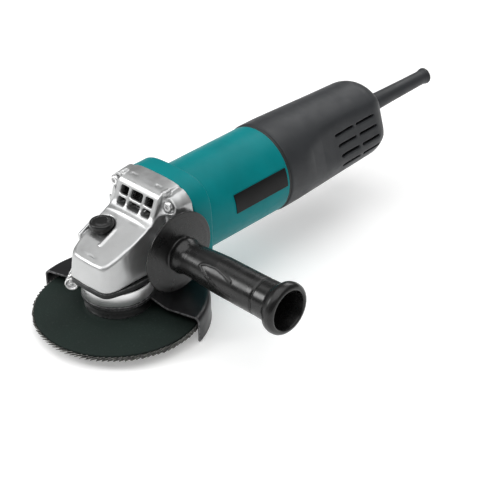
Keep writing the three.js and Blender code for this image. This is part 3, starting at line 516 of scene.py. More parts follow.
def abrasive(name):
    """Coated abrasive cloth: dark grit with pale specks."""
    n = Nodes(name)
    grit = n.add("ShaderNodeTexVoronoi", {"Vector": n.place, "Scale": 1900}).outputs["Distance"]
    body = n.mix(n.ranged(grit, 0.1, 0.6, 0, 1), rgba(0.62, 0.62, 0.58), rgba(0.16, 0.16, 0.15))
    specks = n.ranged(n.noise(2600, 2), 0.62, 0.7, 0, 0.7)
    body = n.mix(specks, body, rgba(0.5, 0.5, 0.47))
    clumps = n.ranged(n.noise(700, 2), 0.42, 0.58, 0, 0.8)
    body = n.mix(clumps, body, rgba(0.05, 0.05, 0.048))
    return n.finish(body, 0.92, n.bump(grit, 0.12, 1.0))


def laminated(name, colour):
    """Stacked steel sheets."""
    n = Nodes(name)
    values = {"Vector": n.place, "Scale": 320, "Distortion": 0}
    sheets = n.add("ShaderNodeTexWave", values, bands_direction="Y").outputs["Fac"]
    body = n.mix(sheets, shade(colour, 0.6), shade(colour, 1.1))
    gloss = n.ranged(n.noise(300), 0.3, 0.7, 0.35, 0.55)
    return n.finish(body, gloss, n.bump(sheets, 0.05, 0.6), metallic=0.9)


TEAL = rgba(0.001, 0.2, 0.215)
CHARCOAL = rgba(0.03, 0.032, 0.035)
MATERIALS = {
    "cast_aluminium": cast_metal("cast_aluminium", rgba(0.52, 0.525, 0.525)),
    "teal_plastic": plastic("teal_plastic", TEAL, 0.4, 0.45, 0.01, 0.06, 0.1),
    "charcoal_plastic": plastic("charcoal_plastic", CHARCOAL, 0.46, 0.5, 0.02, 0.06, 0.3),
    "black_plastic": plastic("black_plastic", rgba(0.007, 0.007, 0.007), 0.27, 0.5, 0.008, 0.14, 0.42),
    "label_black": plastic("label_black", rgba(0.008, 0.008, 0.008), 0.35, 0.9, 0.003, 0, 0.15),
    "black_casting": painted("black_casting", rgba(0.006, 0.007, 0.007), 0.45),
    "guard_black": painted("guard_black", rgba(0.007, 0.007, 0.008), 0.36),
    "zinc_steel": plated("zinc_steel", rgba(0.8, 0.8, 0.8), 0.3),
    "steel": steel("steel", rgba(0.42, 0.42, 0.43), 0.38),
    "dark_steel": painted("dark_steel", rgba(0.012, 0.013, 0.013), 0.3),
    "fibreglass": fibreglass("fibreglass", rgba(0.012, 0.02, 0.017)),
    "abrasive_cloth": abrasive("abrasive_cloth"),
    "bronze": steel("bronze", rgba(0.5, 0.33, 0.14), 0.4),
    "copper": steel("copper", rgba(0.62, 0.26, 0.1), 0.35, (40, 1, 40), 0.05),
    "laminations": laminated("laminations", rgba(0.3, 0.31, 0.32)),
    "brass": steel("brass", rgba(0.68, 0.5, 0.2), 0.3),
    "carbon": plastic("carbon", rgba(0.015, 0.015, 0.015), 0.7),
    "natural_polymer": plastic("natural_polymer", rgba(0.62, 0.57, 0.46), 0.5),
    "switch_polymer": plastic("switch_polymer", rgba(0.02, 0.02, 0.02), 0.5),
}

SLOTS = {s["node"]: s["material_slot"] for s in frame["record"]["subparts"]}
BODY_OF = {n: body for body, nodes in frame["record"]["behaviour"]["bodies"].items() for n in nodes}


def stand_for(made, node):
    """The piece takes the place, body and finish of one CAD node."""
    made.data.materials.clear()
    made.data.materials.append(MATERIALS[SLOTS[node]])
    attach(made, BODY_OF[node])
    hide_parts(node)
    return made


def fitted(made, slot, body="tool_body"):
    """A fine piece that no CAD node stands for."""
    made.data.materials.clear()
    made.data.materials.append(MATERIALS[slot])
    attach(made, body)
    return made


# ---------------------------------------------------------------- gear case

GRILLE_COLUMNS = [(-15.1, -7.9), (-5.3, 5.3), (7.9, 15.1)]
GRILLE_ROWS = [(0.1, 0.38), (0.5, 0.83)]


def slope_at(y):
    """Height of the nose's sloping top."""
    return SLOPE_Z + SLOPE * y


def flank_field(width, y):
    """The side of the gear case's foot, which the bearing box shares."""
    points = [(17.4, CASE_FRONT + 0.9), (20.9, -16), (22.7, -6), (23.3, 6), (23.3, 30)]
    return smax([plane(width, y, a, b) for a, b in zip(points, points[1:])], 1.5)


def nose_field(x, y, z):
    """The front of the gear case, with its sloping top."""
    rise = np.clip((z - CASE_BOTTOM) / (slope_at(y) - CASE_BOTTOM), 0, 1)
    width = np.abs(x) / (1 + np.maximum(-0.12, 0.009 * (y - 6)) * rise)
    front = CASE_FRONT + 0.9 * (width / 17.4) ** 2 + 1.6 * rise - y
    around = smax([flank_field(width, y), front], 4.5)
    around = np.maximum(around, y - 27)
    top = (z - slope_at(y)) / math.hypot(1, SLOPE)
    return smax([smax([around, top], 2.4), CASE_BOTTOM - z], 0.6)


def shoulder_field(x, y, z):
    """The case swelling out to the collar."""
    half = np.interp(y, [14, 20, 27, 34, JOINT_Y], [25.5, 29, 32.4, 34, COLLAR[0]])
    up = np.interp(y, [14, 20, 27, 34, JOINT_Y], [15.5, 22, 30.4, 35, COLLAR[1]])
    down = np.interp(y, [14, 25.4, 27, 30, 34, JOINT_Y], [17.5, 18, 20.5, 33, 34.5, COLLAR[2]])
    skin = rounded_square(x, z, half, up, down)
    return smax([skin, 14 - y, y - JOINT_Y], 0.6)


def grille_field(x, y, z):
    """The block that holds the air grille."""
    (fy, fz), (hy, hz) = GRILLE_FOOT, GRILLE_HEAD
    face = plane(y, z, (hy, hz), (fy, fz))
    ridge = plane(y, z, (hy + 2.5, hz + 1.8), (hy, hz))
    roof = plane(y, z, (JOINT_Y, hz + 4), (hy + 2.5, hz + 1.8))
    arch = collar_outline(x, z, 0.5)
    side = np.abs(x) - GRILLE_HALF
    wall = smax([face, ridge, roof, side], 1.2)
    return np.maximum(smax([wall, arch], 1.0), np.maximum(y - JOINT_Y, 62 - z))


def windows_field(x, y, z):
    """The six windows, sunk square to the grille's face."""
    (fy, fz), (hy, hz) = GRILLE_FOOT, GRILLE_HEAD
    length = math.hypot(hy - fy, hz - fz)
    uy, uz = (hy - fy) / length, (hz - fz) / length
    up = (y - fy) * uy + (z - fz) * uz
    into = (y - fy) * uz - (z - fz) * uy
    best = None
    for low, high in GRILLE_ROWS:
        for left, right in GRILLE_COLUMNS:
            hole = block((x, up, into), (left, low * length, -3), (right, high * length, 8.6), 0.9)
            best = hole if best is None else np.minimum(best, hole)
    return best


def with_bosses(p, body):
    """Adds the handle bosses and their feet, the round pads, and the bosses of the upper screws."""
    x, y, z = p
    side = mirrored(p)
    body = smin([body, handle_rod(p, 13.4, 10, BOSS_FACE_X, 0.8), handle_rod(p, 15.2, 10, 31, 2.0)], 2.0)
    pads = tube(side, 0, PAD, 6.2, 10, 26.2, 0.8)
    pads = carve(pads, [tube(side, 0, PAD, 4.6, 25.4, 30, 0.3)], 0.4)
    body = smin([body, pads], 1.2)
    screw_boss = tube(side, 1, UPPER_SCREW, 5.4, SEAT_Y, JOINT_Y, 0.8)
    screw_boss = np.maximum(screw_boss, np.maximum(collar_outline(x, z, 0.4), y - JOINT_Y))
    return np.maximum(smin([body, screw_boss], 5), y - JOINT_Y)


def with_roof(p, body):
    """Cuts the screws' pockets and adds the grille and the lugs. Two shallow ovals mark the roof."""
    x, y, z = p
    side = mirrored(p)
    seats = [tube(side, 1, place, 4.7, 6, SEAT_Y, 0.8) for place in (UPPER_SCREW, LOWER_SCREW)]
    scoop = smax([20.6 - side[0], plane(side[0], z, (34, 75), (20.4, 72.2)), y - SEAT_Y], 3)
    body = carve(body, [np.minimum(*seats), scoop], 1.4)
    body = smin([body, grille_field(x, y, z)], 1.6)
    lugs = tube(side, 1, (19.8, 85.4), 2.2, 26.6, 32, 0.9)
    ovals = block(side, (8.2, 29, 86.2), (15, 32, 92), 1.4)
    return carve(smin([body, lugs], 0.7), [ovals], 0.5)


def from_button(x, y):
    """Distance from the button's axis, or from the lane that runs forward from it."""
    return np.sqrt((x - BUTTON[0]) ** 2 + np.maximum(y - BUTTON[1], 0) ** 2)


def rim_field(x, y, z):
    """The lips that stand round the button's well."""
    wall = np.abs(from_button(x, y) - WELL_RADIUS - 1.0) - 1.1
    rim = np.maximum(wall, z - np.minimum(slope_at(y), 61.4) - 0.6)
    return np.maximum(rim, np.maximum(52 - z, BUTTON[1] - 11.5 - y))


def well_field(x, y, z):
    """The sunk well that the button stands in, open to the front."""
    return smax([from_button(x, y) - WELL_RADIUS, WELL_FLOOR - z], 1.0)


def case_hollows(p):
    """The gear chamber, the air duct, the motor's tunnel and every bore in the casting."""
    _, y, z = p
    side = mirrored(p)
    bore = tube(p, 2, BUTTON, 2.4, 44, 60, 0.2)
    chamber = carve(spindle_rod(p, 20, 20, 52), [spindle_rod(p, 8.5, 48.9, 60)], 0.3)
    chamber = np.minimum(chamber, spindle_rod(p, 6.3, 30, 53.6, 0.3))
    duct = smax([side[0] - 16.5, 69 - z, z - 82.2, plane(y, z, GRILLE_HEAD, GRILLE_FOOT) + 3.0], 0.5)
    sockets = handle_rod(p, 4.35, 21.5, 60, 0.2)
    mouth = handle_rod(p, 5.4, BOSS_FACE_X - 0.9, 60, 0.2)
    shanks = np.minimum(*(tube(side, 1, place, 2.1, 20, 60) for place in (UPPER_SCREW, LOWER_SCREW)))
    tunnel = [motor_rod(p, 8.6, 10, 30), motor_rod(p, 15.25, 26.7, 60), motor_rod(p, 30.6, 37.6, 60)]
    holes = [tube(p, 2, place, 1.8, 30, 42.5) for place in BOX_SCREWS]
    return [bore, chamber, duct, sockets, mouth, shanks] + tunnel + holes


def gear_housing():
    def field(p):
        body = smin([nose_field(*p), shoulder_field(*p)], 5)
        body = with_roof(p, with_bosses(p, body))
        body = smin([body, rim_field(*p)], 0.5)
        body = carve(body, case_hollows(p), 0.5)
        body = carve(body, [well_field(*p)], 0.7)
        return carve(body, [windows_field(*p)], 0.7)

    made = moulded("gear_housing_casting", *node_box("gear_housing"), 0.5, field)
    return stand_for(made, "gear_housing")


def grille_shade_sheet():
    """A dark perforated sheet behind the grille's windows: painted shade, which stands in for the dark
    inside of the air duct.
    """
    (fy, fz), (hy, hz) = GRILLE_FOOT, GRILLE_HEAD

    def field(p):
        x, y, z = p
        depth = plane(y, z, (hy, hz), (fy, fz)) + 5.6
        sheet = smax([np.abs(depth) - 0.5, np.abs(x) - 16.3, 69.2 - z, z - 82], 0.3)
        holes = np.sin(x * TURN / 2.2) * np.sin(z * TURN / 2.2) - 0.35
        return np.maximum(sheet, holes * 0.25)

    return fitted(moulded("grille_shade_sheet", (-17, 18, 68), (17, 37, 83), 0.4, field), "label_black")


def joint_gasket():
    """The dark seal squeezed between the gear case and the motor housing."""

    def field(p):
        x, y, z = p
        outer = collar_outline(x, z, -0.35)
        inner = 31.4 - np.sqrt(x**2 + (z - MOTOR_Z) ** 2)
        return smax([outer, inner, np.abs(y - JOINT_Y - 0.15) - 0.75], 0.2)

    made = moulded("joint_gasket", (-35, 38.8, 15.5), (35, 41.4, 87.5), 0.4, field)
    return fitted(made, "switch_polymer")


gear_housing()
# A dark sheet of painted shade behind the grille's windows.
grille_shade_sheet()
joint_gasket()

# ---------------------------------------------------------------- motor housing and rear cover


def motor_hollows(p):
    """The rooms for the fan, stator and bearing, the screws' holes, and the slide switch's slots."""
    side = mirrored(p)
    hollows = [
        motor_rod(p, 31, 20, 54.4, 0.4),
        motor_rod(p, 28.9, 50, 118, 0.4),
        motor_rod(p, 26, 110, 138, 0.4),
        motor_rod(p, 9, 130, 160, 0.4),
        carve(motor_rod(p, 26, 141, 160, 0.4), [motor_rod(p, 14, 130, 147, 0.4)], 0.3),
        motor_rod(p, 11.25, 139.9, 160, 0.3),
    ]
    hollows += [tube(side, 1, place, 1.95, 20, 51.6, 0.2) for place in (UPPER_SCREW, LOWER_SCREW)]
    hollows.append(block(p, (-29, 100, MOTOR_Z - 3.6), (-25.4, 160, MOTOR_Z + 3.6), 0.3))
    hollows.append(block(p, (-40, 81.4, MOTOR_Z - 2.6), (-27, 96.6, MOTOR_Z + 2.6), 0.5))
    hollows.append(tube(p, 2, COVER_SCREW, 1.9, 10, 30, 0.2))
    return hollows


def motor_housing():
    def field(p):
        x, y, z = p
        radial = np.sqrt(x**2 + (z - MOTOR_Z) ** 2)
        start = JOINT_Y + 0.3
        collar = smax([rounded_square(x, z, *COLLAR), start - y], 1.6)
        collar = smax([collar, y - COLLAR_END_Y], 1.4)
        seam = np.interp(y, [0, 132.2, 132.8, 300], [0, 0, 1.2, 1.2])
        barrel = smax([radial - BARREL_RADIUS + seam, start - y, y - BARREL_END_Y], 0.4)
        body = np.minimum(smin([collar, barrel], 2.6), motor_rod(p, 28.7, 120, 147, 0.5))
        return carve(body, motor_hollows(p), 0.4)

    made = moulded("motor_housing_moulding", *node_box("motor_housing"), 0.62, field)
    return stand_for(made, "motor_housing")


VENT_ROWS = (63.6, 55.6, 47.7, 39.9)
VENT_SPANS = ((187, 207), (210, 229.5))
VENT_STEP = 1.5  # each row sits this much further back than the one above
VENT_HALF = 1.05
REAR_ROUNDING = 16
FACET_TILT = math.radians(15)
FACET_STATIONS = [150, 160, 172, 184, 200, 240]
FACET_REACH = [34, 30.6, 28.3, 27.2, 26.4, 26.0]


def rear_field(x, y, z, inset=0.0):
    """A tapering drum with two side facets and a rounded end, made smaller all round by inset."""
    bend = np.clip((y - (REAR_END_Y - REAR_ROUNDING)) / REAR_ROUNDING, 0, 1)
    shrink = REAR_ROUNDING * 0.75 * (1 - np.sqrt(1 - bend * bend * 0.98)) + inset
    radius = np.interp(y, [134, 150, 200, 228], [32.3, 32.2, 30.2, 29.2]) - shrink
    radial = np.sqrt(x**2 + (z - MOTOR_Z) ** 2)
    around = smax([radial - radius, y - REAR_END_Y + inset], 1.2)
    tilted = np.abs(x) * math.cos(FACET_TILT) + (z - MOTOR_Z) * math.sin(FACET_TILT)
    facet = tilted - np.interp(y, FACET_STATIONS, FACET_REACH) + shrink
    return smax([around, facet], 2.0)


def vent_slots(side):
    """Four rows of slots on each side, in two spans."""
    slots = []
    for row, height in enumerate(VENT_ROWS):
        for start, end in VENT_SPANS:
            shift = VENT_STEP * row
            low = (18, start + shift, height - VENT_HALF)
            high = (40, end + shift, height + VENT_HALF)
            slots.append(block(side, low, high, 0.9))
    return slots


def rear_cover():
    def field(p):
        x, y, z = p
        body = smax([rear_field(x, y, z), BARREL_END_Y + 0.3 - y], 1.6)
        hollows = [rear_field(x, y + 1.7, z, 2.4)]
        hollows += vent_slots(mirrored(p))
        hollows.append(tube(p, 1, (0, CORD_Z), 7.2, 230, 260, 0.3))
        hollows.append(tube(p, 2, COVER_SCREW, 1.9, 10, 30, 0.2))
        return carve(body, hollows, 0.45)

    made = moulded("rear_cover_moulding", *node_box("rear_cover"), 0.62, field)
    return stand_for(made, "rear_cover")


def cover_seal():
    """The dark ring in the seam between the barrel and the rear cover."""
    made = turned("cover_seal", "Y", [
        (29, 132.6), (31.1, 132.6), (31.3, 132.9), (31.3, 135.2), (31.1, 135.5), (29, 135.5),
    ], at=(0, 0, MOTOR_Z))
    return fitted(made, "switch_polymer")


motor_housing()
rear_cover()
cover_seal()

# ---------------------------------------------------------------- side handle

HANDLE_END_X = 132.8
ARCH_TIP = 65.5  # distance along the handle of the arch relief's tip
ARCH_UPPER = [(0, -11.7), (1.2, -10), (4.4, -8.9), (12.5, -8.2), (20.6, -9.7), (27, -11.7)]
ARCH_LOWER = [(0, -11.7), (2.4, -13.4), (8, -16.2), (17.3, -19.9), (29.2, -21.8)]
GRIP_RADIUS = 12.7  # turns an angle round the grip into a distance


def relief_field(x, dy, dz, above):
    """Two raised lines that spread from a tip, on the grip's front upper side."""
    along, across = x - ARCH_TIP, np.arctan2(dy, dz) * GRIP_RADIUS
    lines = np.minimum(chain(along, across, ARCH_UPPER), chain(along, across, ARCH_LOWER)) - 0.65
    return smax([lines, above - 0.6, 8 - np.sqrt(dy**2 + dz**2)], 0.3)


def side_handle():
    start = BOSS_FACE_X + 0.3
    spine = [
        (start, 27.9), (start + 1.6, 27.9), (start + 2.2, 24), (start + 2.8, 18), (start + 3.5, 12.2),
        (39.6, 11.3), (41, 12), (42.6, 12.5), (44.2, 12.2), (46.6, 11.2), (49, 10.9), (52, 10.95),
        (58, 11.4), (66, 12), (76, 12.5), (92, 12.6), (112, 12.7), (121.2, 13.1), (122.4, 13.8),
        (123.6, 15.4), (125.4, 16.8), (128, 17.4), (130.6, 17.1), (132, 16.2), (HANDLE_END_X, 15.2),
    ]
    stations, radii = zip(*spine)

    def field(p):
        x, y, z = p
        dy, dz = y - HANDLE_Y, z - MOTOR_Z
        radial = np.sqrt(dy**2 + dz**2)
        above = radial - np.interp(x, stations, radii)
        body = smax([above * 0.9, start - x, x - HANDLE_END_X], 0.9)
        groove = handle_rod(p, 40, 110.4, 111.6, 0.2)
        body = smax([body, -smax([groove, 12.1 - radial], 0.3)], 0.4)
        body = smin([body, relief_field(x, dy, dz, above)], 0.4)
        hollow = smax([radial - np.interp(x, [114, 126, HANDLE_END_X], [10.3, 11.6, 13.4]), 115 - x], 1.2)
        stud = handle_rod(p, 4.35, 20, 52, 0.2)
        return carve(body, [hollow, stud], 0.8)

    low, high = node_box("side_handle")
    made = moulded("side_handle_grip", low, (HANDLE_END_X + 0.4, high[1], high[2]), 0.5, field)
    return stand_for(made, "side_handle")


side_handle()

# ---------------------------------------------------------------- disc, flange and nut


def backing_plate():
    rim = DISC_RADIUS - 1.4
    made = turned("backing_plate_moulding", "Z", [
        (11.25, 7.9), (18.8, 7.9), (20.4, 7.2), (21.8, 5.2), (23.4, 4.2), (34, 2.9), (rim - 0.6, 2.2),
        (rim, 2.6), (rim, 3.7), (rim - 0.6, 4.1), (50, 4.6), (40, 5.2), (24.6, 6.5), (23, 7),
        (21.6, 8.8), (20.6, 10), (19.6, 10.5), (11.25, 10.5),
    ], sides=144)
    return stand_for(made, "backing_plate")


FLAPS = 96
FLAP_START = 33
FLAP_ROWS, FLAP_COLUMNS = 10, 5


def flap_points(start, reach, lift):
    """Two layers of points for one leaf, which rises at its outer end."""
    points = []
    for side in (0, 1):
        for i in range(FLAP_ROWS):
            share = i / (FLAP_ROWS - 1)
            radius = FLAP_START + (reach - FLAP_START) * share
            curl = max(0, (share - 0.9) / 0.1)
            for j in range(FLAP_COLUMNS):
                over = j / (FLAP_COLUMNS - 1)
                angle = start + (over * 2.6 - 0.3) * TURN / FLAPS
                z = -1.55 + over * 2.5 + lift + 0.5 * side + curl * (1.2 + 1.2 * over)
                z = max(-2.0 + 0.5 * side, z)
                points.append((radius * math.cos(angle), radius * math.sin(angle), z))
    return points


def flap_ring():
    """Overlapping abrasive flaps, each a curved leaf that leans on the next."""
    vertices, faces = [], []
    rng = np.random.default_rng(7)
    for flap in range(FLAPS):
        reach = DISC_RADIUS - rng.uniform(0.02, 0.5)
        lift = rng.uniform(-0.15, 0.15)
        faces += sheet_faces(FLAP_ROWS, FLAP_COLUMNS, len(vertices))
        vertices += flap_points(flap * TURN / FLAPS, reach, lift)
    made = mesh_object("abrasive_flaps", np.array(vertices), np.array(faces), smooth=False)
    return stand_for(made, "flap_ring")


def inner_flange():
    made = turned("inner_flange_turning", "Z", [
        (7.3, 7), (10.8, 7), (10.8, 10.8), (19.9, 10.8), (22, 8.2), (22.3, 8.1), (22.6, 8.4), (22.6, 9.2),
        (22.3, 9.6), (21.2, 11.3), (21, 12), (21, 14), (20.7, 14.8), (19.6, 15.5), (7.3, 15.5),
    ])
    return stand_for(soften(made, 0.2), "inner_flange")


def lock_nut():
    def field(p):
        body = smin([spindle_rod(p, 12, 0.6, 6, 0.4), spindle_rod(p, 16.4, 4.2, 7.4, 0.5)], 0.6)
        holes = [tube(p, 2, (side * 9.8, 0), 1.3, -4, 3.6, 0.2) for side in (-1, 1)]
        holes += [spindle_rod(p, 7.3, -4, 20, 0.1), spindle_rod(p, 11.2, 6.6, 20, 0.1)]
        return carve(body, holes, 0.3)

    return stand_for(moulded("lock_nut_turning", *node_box("lock_nut"), 0.3, field), "lock_nut")


def spindle():
    threads = []
    pitch, turns = 2.0, 5
    for turn in range(turns):
        base = 0.9 + turn * pitch
        threads += [(6.3, base), (7.0, base + 0.7), (7.0, base + 1.1)]
    made = turned("spindle_turning", "Z", [(0, 0), (5.8, 0), *threads] + [
        (7, 11.4), (7, 15.8), (10, 15.8), (10, 20.5), (7.2, 20.5), (7.2, 36.2), (6, 36.2), (6, 48.5),
        (4, 48.5), (4, 53.2), (0, 53.2),
    ], sides=64)
    return stand_for(soften(made, 0.12), "spindle")


backing_plate()
flap_ring()
inner_flange()
lock_nut()
spindle()

# ---------------------------------------------------------------- guard, clamp and bearing box

GUARD_RADIUS, GUARD_TOP, GUARD_BOTTOM, SHEET = 61, 11.8, -6.6, 1.6


def guard_shell():
    half = SHEET / 2
    edge = GUARD_RADIUS - half
    spine = [(23.3, 17.6), (23.4, 17), (25.2, 15.6), (34, GUARD_TOP - 0.1), (36.5, GUARD_TOP - half)]
    spine += arc_points((edge - 3.2, GUARD_TOP - half - 3.2), 3.2, 90, 0, 6)
    spine += [(edge, GUARD_BOTTOM + half)]

    def field(p):
        x, y, z = p
        radial = np.sqrt(x**2 + y**2)
        sheet = chain(radial, z, spine) - half
        bead = np.sqrt((radial - edge) ** 2 + (z - GUARD_BOTTOM - 1.0) ** 2) - 1.0
        sheet = smin([sheet, bead], 0.4)
        front = x * math.sin(GUARD_TURN) - y * math.cos(GUARD_TURN) + GUARD_SET_BACK
        kept = smin([front, radial - BAND[1] - 0.2], 1.5)
        return smax([sheet, kept, 22.7 - radial, z - 18.1], 0.4)

    return stand_for(moulded("guard_pressing", *node_box("guard_shell"), 0.55, field), "guard_shell")


def guard_collar():
    """The band, turned, with a gap between its two clamp ears."""
    inner, outer, bottom, top = BAND
    profile = [
        (inner, bottom + 0.3), (inner + 0.3, bottom), (outer - 0.4, bottom), (outer - 0.1, bottom + 0.15),
        (outer, bottom + 0.5), (outer, top - 0.5), (outer - 0.1, top - 0.15), (outer - 0.4, top),
        (inner + 0.3, top), (inner, top - 0.3),
    ]
    made = turned("guard_collar_band", "Z", profile, sides=160, gap=(CLAMP_ANGLE, 1.1 / outer))
    return stand_for(soften(made, 0.1, 40), "guard_collar")


def clamp_ears():
    """The band's two ends, bent out and bored for the clamp bolt."""
    inner, outer = BAND[:2]

    def field(p):
        x, y, z = p
        cx, cy = clamp_frame(x, y)
        radial = np.sqrt(x**2 + y**2)
        ears = block((cx, cy, z), (inner, -4.2, 19.6), (CLAMP[0] + 3.8, 4.2, 27.8), 2.4)
        ears = smax([ears, outer - 0.3 - radial], 0.3)
        slit = block((cx, cy, z), (20, -1.1, 10), (50, 1.1, 40), 0.1)
        return carve(ears, [slit, tube((cx, cy, z), 1, CLAMP, 2.5, -10, 10, 0.1)], 0.3)

    made = moulded("guard_clamp_ears", (-30, -23, 19), (-14, -8, 28.4), 0.25, field)
    return fitted(made, "zinc_steel", "guard")


def clamp_screw():
    """A round head with a raised rim, a sunk face and a domed centre."""
    made = turned("guard_clamp_bolt", "Y", [
        (0, -9.5), (1.8, -9.5), (2.1, -9.2), (2.1, 4.5), (4.3, 4.5), (4.6, 4.8), (4.6, 7.9), (4.4, 8.4),
        (4, 8.6), (3.5, 8.5), (3.1, 8.0), (2.9, 6.9), (2.5, 6.6), (1.9, 6.8), (1.4, 7.4), (0.8, 7.8),
        (0, 7.9),
    ], at=(CLAMP[0], 0, CLAMP[1]), sides=48)
    made.data.transform(Matrix.Rotation(CLAMP_ANGLE, 4, "Z"))
    return stand_for(made, "guard_clamp_screw")


def clamp_nut():
    def field(p):
        x, y, z = p
        cx, cy = clamp_frame(x, y)
        flats = hexagon(cx - CLAMP[0], z - CLAMP[1], 3.8)
        body = smax(flats + [-8 - cy, cy + 4.6], 0.5)
        return carve(body, [tube((cx, cy, z), 1, CLAMP, 2.5, -20, 10, 0.1)], 0.3)

    made = moulded("guard_clamp_hexagon", *node_box("guard_clamp_nut"), 0.22, field)
    return stand_for(made, "guard_clamp_nut")


def bearing_box():
    def field(p):
        x, y, z = p
        front = CASE_FRONT + 0.9 * (x / 17.4) ** 2 - y
        plate = smax([flank_field(np.abs(x), y), front], 4.5)
        plate = smax([plate, y - 23.2], 3)
        plate = smax([plate, 28.4 - z, z - 32.3], 0.7)
        body = np.minimum(plate, spindle_rod(p, 22.4, 16.4, 29.4, 0.4))
        body = np.minimum(body, spindle_rod(p, 19.6, 31, 34.4, 0.3))
        holes = [spindle_rod(p, 17.8, 20.8, 50, 0.2), spindle_rod(p, 10.8, 0, 30, 0.2)]
        for place in BOX_SCREWS:
            holes += [tube(p, 2, place, 1.8, 20, 50, 0.1), tube(p, 2, place, 2.9, 20, 31, 0.1)]
        return carve(body, holes, 0.3)

    return stand_for(moulded("bearing_box_casting", *node_box("bearing_box"), 0.42, field), "bearing_box")


guard_shell()
guard_collar()
clamp_ears()
clamp_screw()
clamp_nut()
bearing_box()

# ---------------------------------------------------------------- button, switch, sleeve, label and screws


def lock_button():
    r, top, bottom = BUTTON_RADIUS, BUTTON_TOP, BUTTON_BOTTOM
    made = turned("lock_button_dome", "Z", [
        (0, top - 2), (6.4, top - 2.2), (6.6, bottom + 0.2), (6.8, bottom), (r - 0.3, bottom),
        (r, bottom + 0.4), (r, top - 2.2), (r - 0.15, top - 1.5), (r - 0.7, top - 0.8),
        (r - 1.6, top - 0.55), (r - 1.9, top - 0.75), (r - 2.3, top - 0.75), (r - 2.7, top - 0.4),
        (4, top - 0.12), (2, top - 0.03), (0, top),
    ], at=(*BUTTON, 0), sides=96)
    return stand_for(made, "lock_button_cap")


def switch_slider():
    def field(p):
        x, _, z = p
        body = block(p, (-36, 80, MOTOR_Z - 7.5), (-25, 108, MOTOR_Z + 7.5), 2.4)
        ribs = [block(p, (-36.9, 86.4 + 3.5 * i, 45), (-34, 88.2 + 3.5 * i, 57), 0.6) for i in range(5)]
        body = smin([body] + ribs, 0.5)
        body = np.maximum(body, 32.1 - np.sqrt(x**2 + (z - MOTOR_Z) ** 2))
        stem = block(p, (-33.5, 90, MOTOR_Z - 2.2), (-28.6, 96, MOTOR_Z + 2.2), 0.3)
        return np.minimum(body, stem)

    made = moulded("switch_slider_moulding", *node_box("switch_slider"), 0.35, field)
    return stand_for(made, "switch_slider")


def cord_guard():
    stations = [239, 249, 270, 290, 311, 313.5, 315.6, CORD_GUARD_END]
    radii = [6.8, 6.6, 6.0, 5.6, 5.3, 5.6, 6.15, 6.2]

    def field(p):
        x, y, z = p
        radial = np.sqrt(x**2 + (z - CORD_Z) ** 2)
        radius = np.interp(y, stations, radii)
        body = smax([radial - radius, y - CORD_GUARD_END], 0.5)
        rib = block(p, (-0.45, 244, CORD_Z), (0.45, 312, CORD_Z + 7), 0.2)
        rib = smax([rib, radial - radius - 0.22], 0.2)
        body = np.minimum(body, rib)
        body = np.maximum(body, 238 - y)
        flange = tube(p, 1, (0, CORD_Z), 9, 235, 242.2, 0.4)
        body = np.minimum(body, flange)
        mouth = np.interp(y, [230, 313.5, CORD_GUARD_END], [3.7, 3.7, 4.7])
        return smax([body, mouth - radial], 0.4)

    return stand_for(moulded("cord_guard_sleeve", *node_box("cord_guard"), 0.36, field), "cord_guard")


def label():
    """A plain curved panel."""
    rows, columns = 24, 40
    start, end = 80.5, 130
    vertices = []
    for radius in (BARREL_RADIUS + 0.62, BARREL_RADIUS + 0.12):
        for i in range(rows):
            angle = math.radians(1 + 24 * i / (rows - 1))
            for j in range(columns):
                y = start + (end - start) * j / (columns - 1)
                vertices.append((radius * math.cos(angle), y, MOTOR_Z + radius * math.sin(angle)))
    faces = sheet_faces(rows, columns)
    made = mesh_object("label_panel", np.array(vertices), np.array(faces))
    tidy(made)
    return stand_for(soften(made, 0.12, 40), "label_plate")


def case_screw(number):
    """A pan head with a hexagon socket, on a plain shank."""
    node = f"gear_case_screw_{number}"
    low, high = [np.array(c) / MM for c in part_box(node)]
    centre = ((low[0] + high[0]) / 2, (low[2] + high[2]) / 2)

    def field(p):
        x, y, z = p
        head = tube(p, 1, centre, 3.5, low[1], low[1] + 2.8, 1.0)
        shank = tube(p, 1, centre, 1.7, low[1] + 2, high[1], 0.2)
        flats = hexagon(x - centre[0], z - centre[1], 1.5)
        socket = smax(flats + [y - low[1] - 1.7], 0.1)
        return carve(np.minimum(head, shank), [socket], 0.25)

    made = moulded(f"case_screw_{number}", low - 0.3, high + 0.3, 0.2, field)
    return stand_for(made, node)


lock_button()
switch_slider()
cord_guard()
label()
for screw in (1, 2, 3, 4):
    case_screw(screw)

# Every CAD node that still shows takes its slot's material.
for name, node in frame["nodes"].items():
    node.data.materials.clear()
    node.data.materials.append(MATERIALS[SLOTS[name]])

# ---------------------------------------------------------------- camera, floor and lights

CAMERA_AT = Vector((676.4, -564.0, 613.9)) * MM
AZIMUTH, ELEVATION, ROLL = (math.radians(a) for a in (44.83, 32.96, 1.16))
LENS = 116.28
FLOOR_GLOW = 0.28


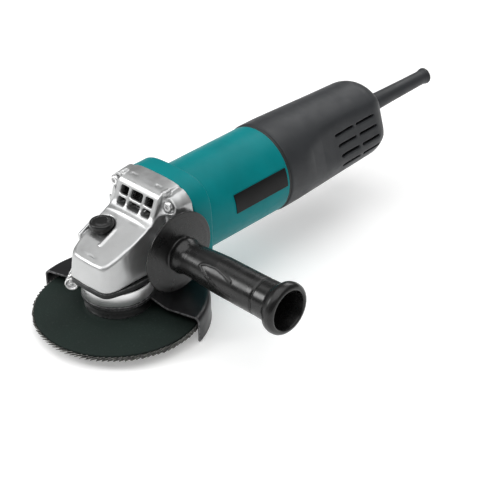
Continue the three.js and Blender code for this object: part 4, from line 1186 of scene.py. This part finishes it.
def camera():
    ca, sa = math.cos(AZIMUTH), math.sin(AZIMUTH)
    ce, se = math.cos(ELEVATION), math.sin(ELEVATION)
    right, up = Vector((ca, sa, 0)), Vector((-sa * se, ca * se, ce))
    back = Vector((sa * ce, -ca * ce, se))
    tilted_right = right * math.cos(ROLL) - up * math.sin(ROLL)
    tilted_up = right * math.sin(ROLL) + up * math.cos(ROLL)
    data = bpy.data.cameras.new("camera")
    data.lens = LENS
    data.sensor_width = 36
    made = bpy.data.objects.new("camera", data)
    facing = Matrix((tilted_right, tilted_up, back)).transposed().to_4x4()
    made.matrix_world = Matrix.Translation(CAMERA_AT) @ facing
    bpy.context.scene.collection.objects.link(made)
    bpy.context.scene.camera = made


def floor():
    """Pale paper with a faint glow, which keeps the shadows soft."""
    z = cad_box[0].z / MM - 0.3
    half = 6000
    corners = np.array([(-half, -half, z), (half, -half, z), (half, half, z), (-half, half, z)], float)
    made = mesh_object("floor", corners, np.array([[0, 1, 2, 3]]), smooth=False)
    n = Nodes("floor_paper")
    tone = n.mix(n.ranged(n.noise(8), 0.3, 0.7, 0, 1), rgba(0.86, 0.86, 0.855), rgba(0.9, 0.9, 0.9))
    normal = n.bump(n.noise(900), 0.02, 0.2)
    paper = n.finish(tone, 0.7, normal, emission_color=rgba(1, 1, 1), emission_strength=FLOOR_GLOW)
    made.data.materials.append(paper)


def light(name, at, toward, size, power):
    data = bpy.data.lights.new(name, "AREA")
    data.shape = "RECTANGLE"
    data.size, data.size_y = size
    data.energy = power
    made = bpy.data.objects.new(name, data)
    made.location = at
    made.rotation_mode = "QUATERNION"
    made.rotation_quaternion = (Vector(toward) - Vector(at)).to_track_quat("-Z", "Y")
    bpy.context.scene.collection.objects.link(made)


def world():
    made = bpy.data.worlds.new("studio")
    made.use_nodes = True
    background = made.node_tree.nodes["Background"]
    background.inputs["Color"].default_value = (1, 1, 1, 1)
    background.inputs["Strength"].default_value = 0.18
    bpy.context.scene.world = made


camera()
floor()
world()
light("overhead", (0.1, -0.1, 1.3), (0, 0.05, 0.04), (1.8, 1.8), 19)
light("front", (-0.8, -0.85, 0.75), (0, 0.02, 0.05), (0.4, 0.5), 7)
light("back", (-0.3, 1.2, 0.9), (0, 0.1, 0.05), (1.0, 0.5), 5)
bpy.context.scene.view_settings.view_transform = "Standard"
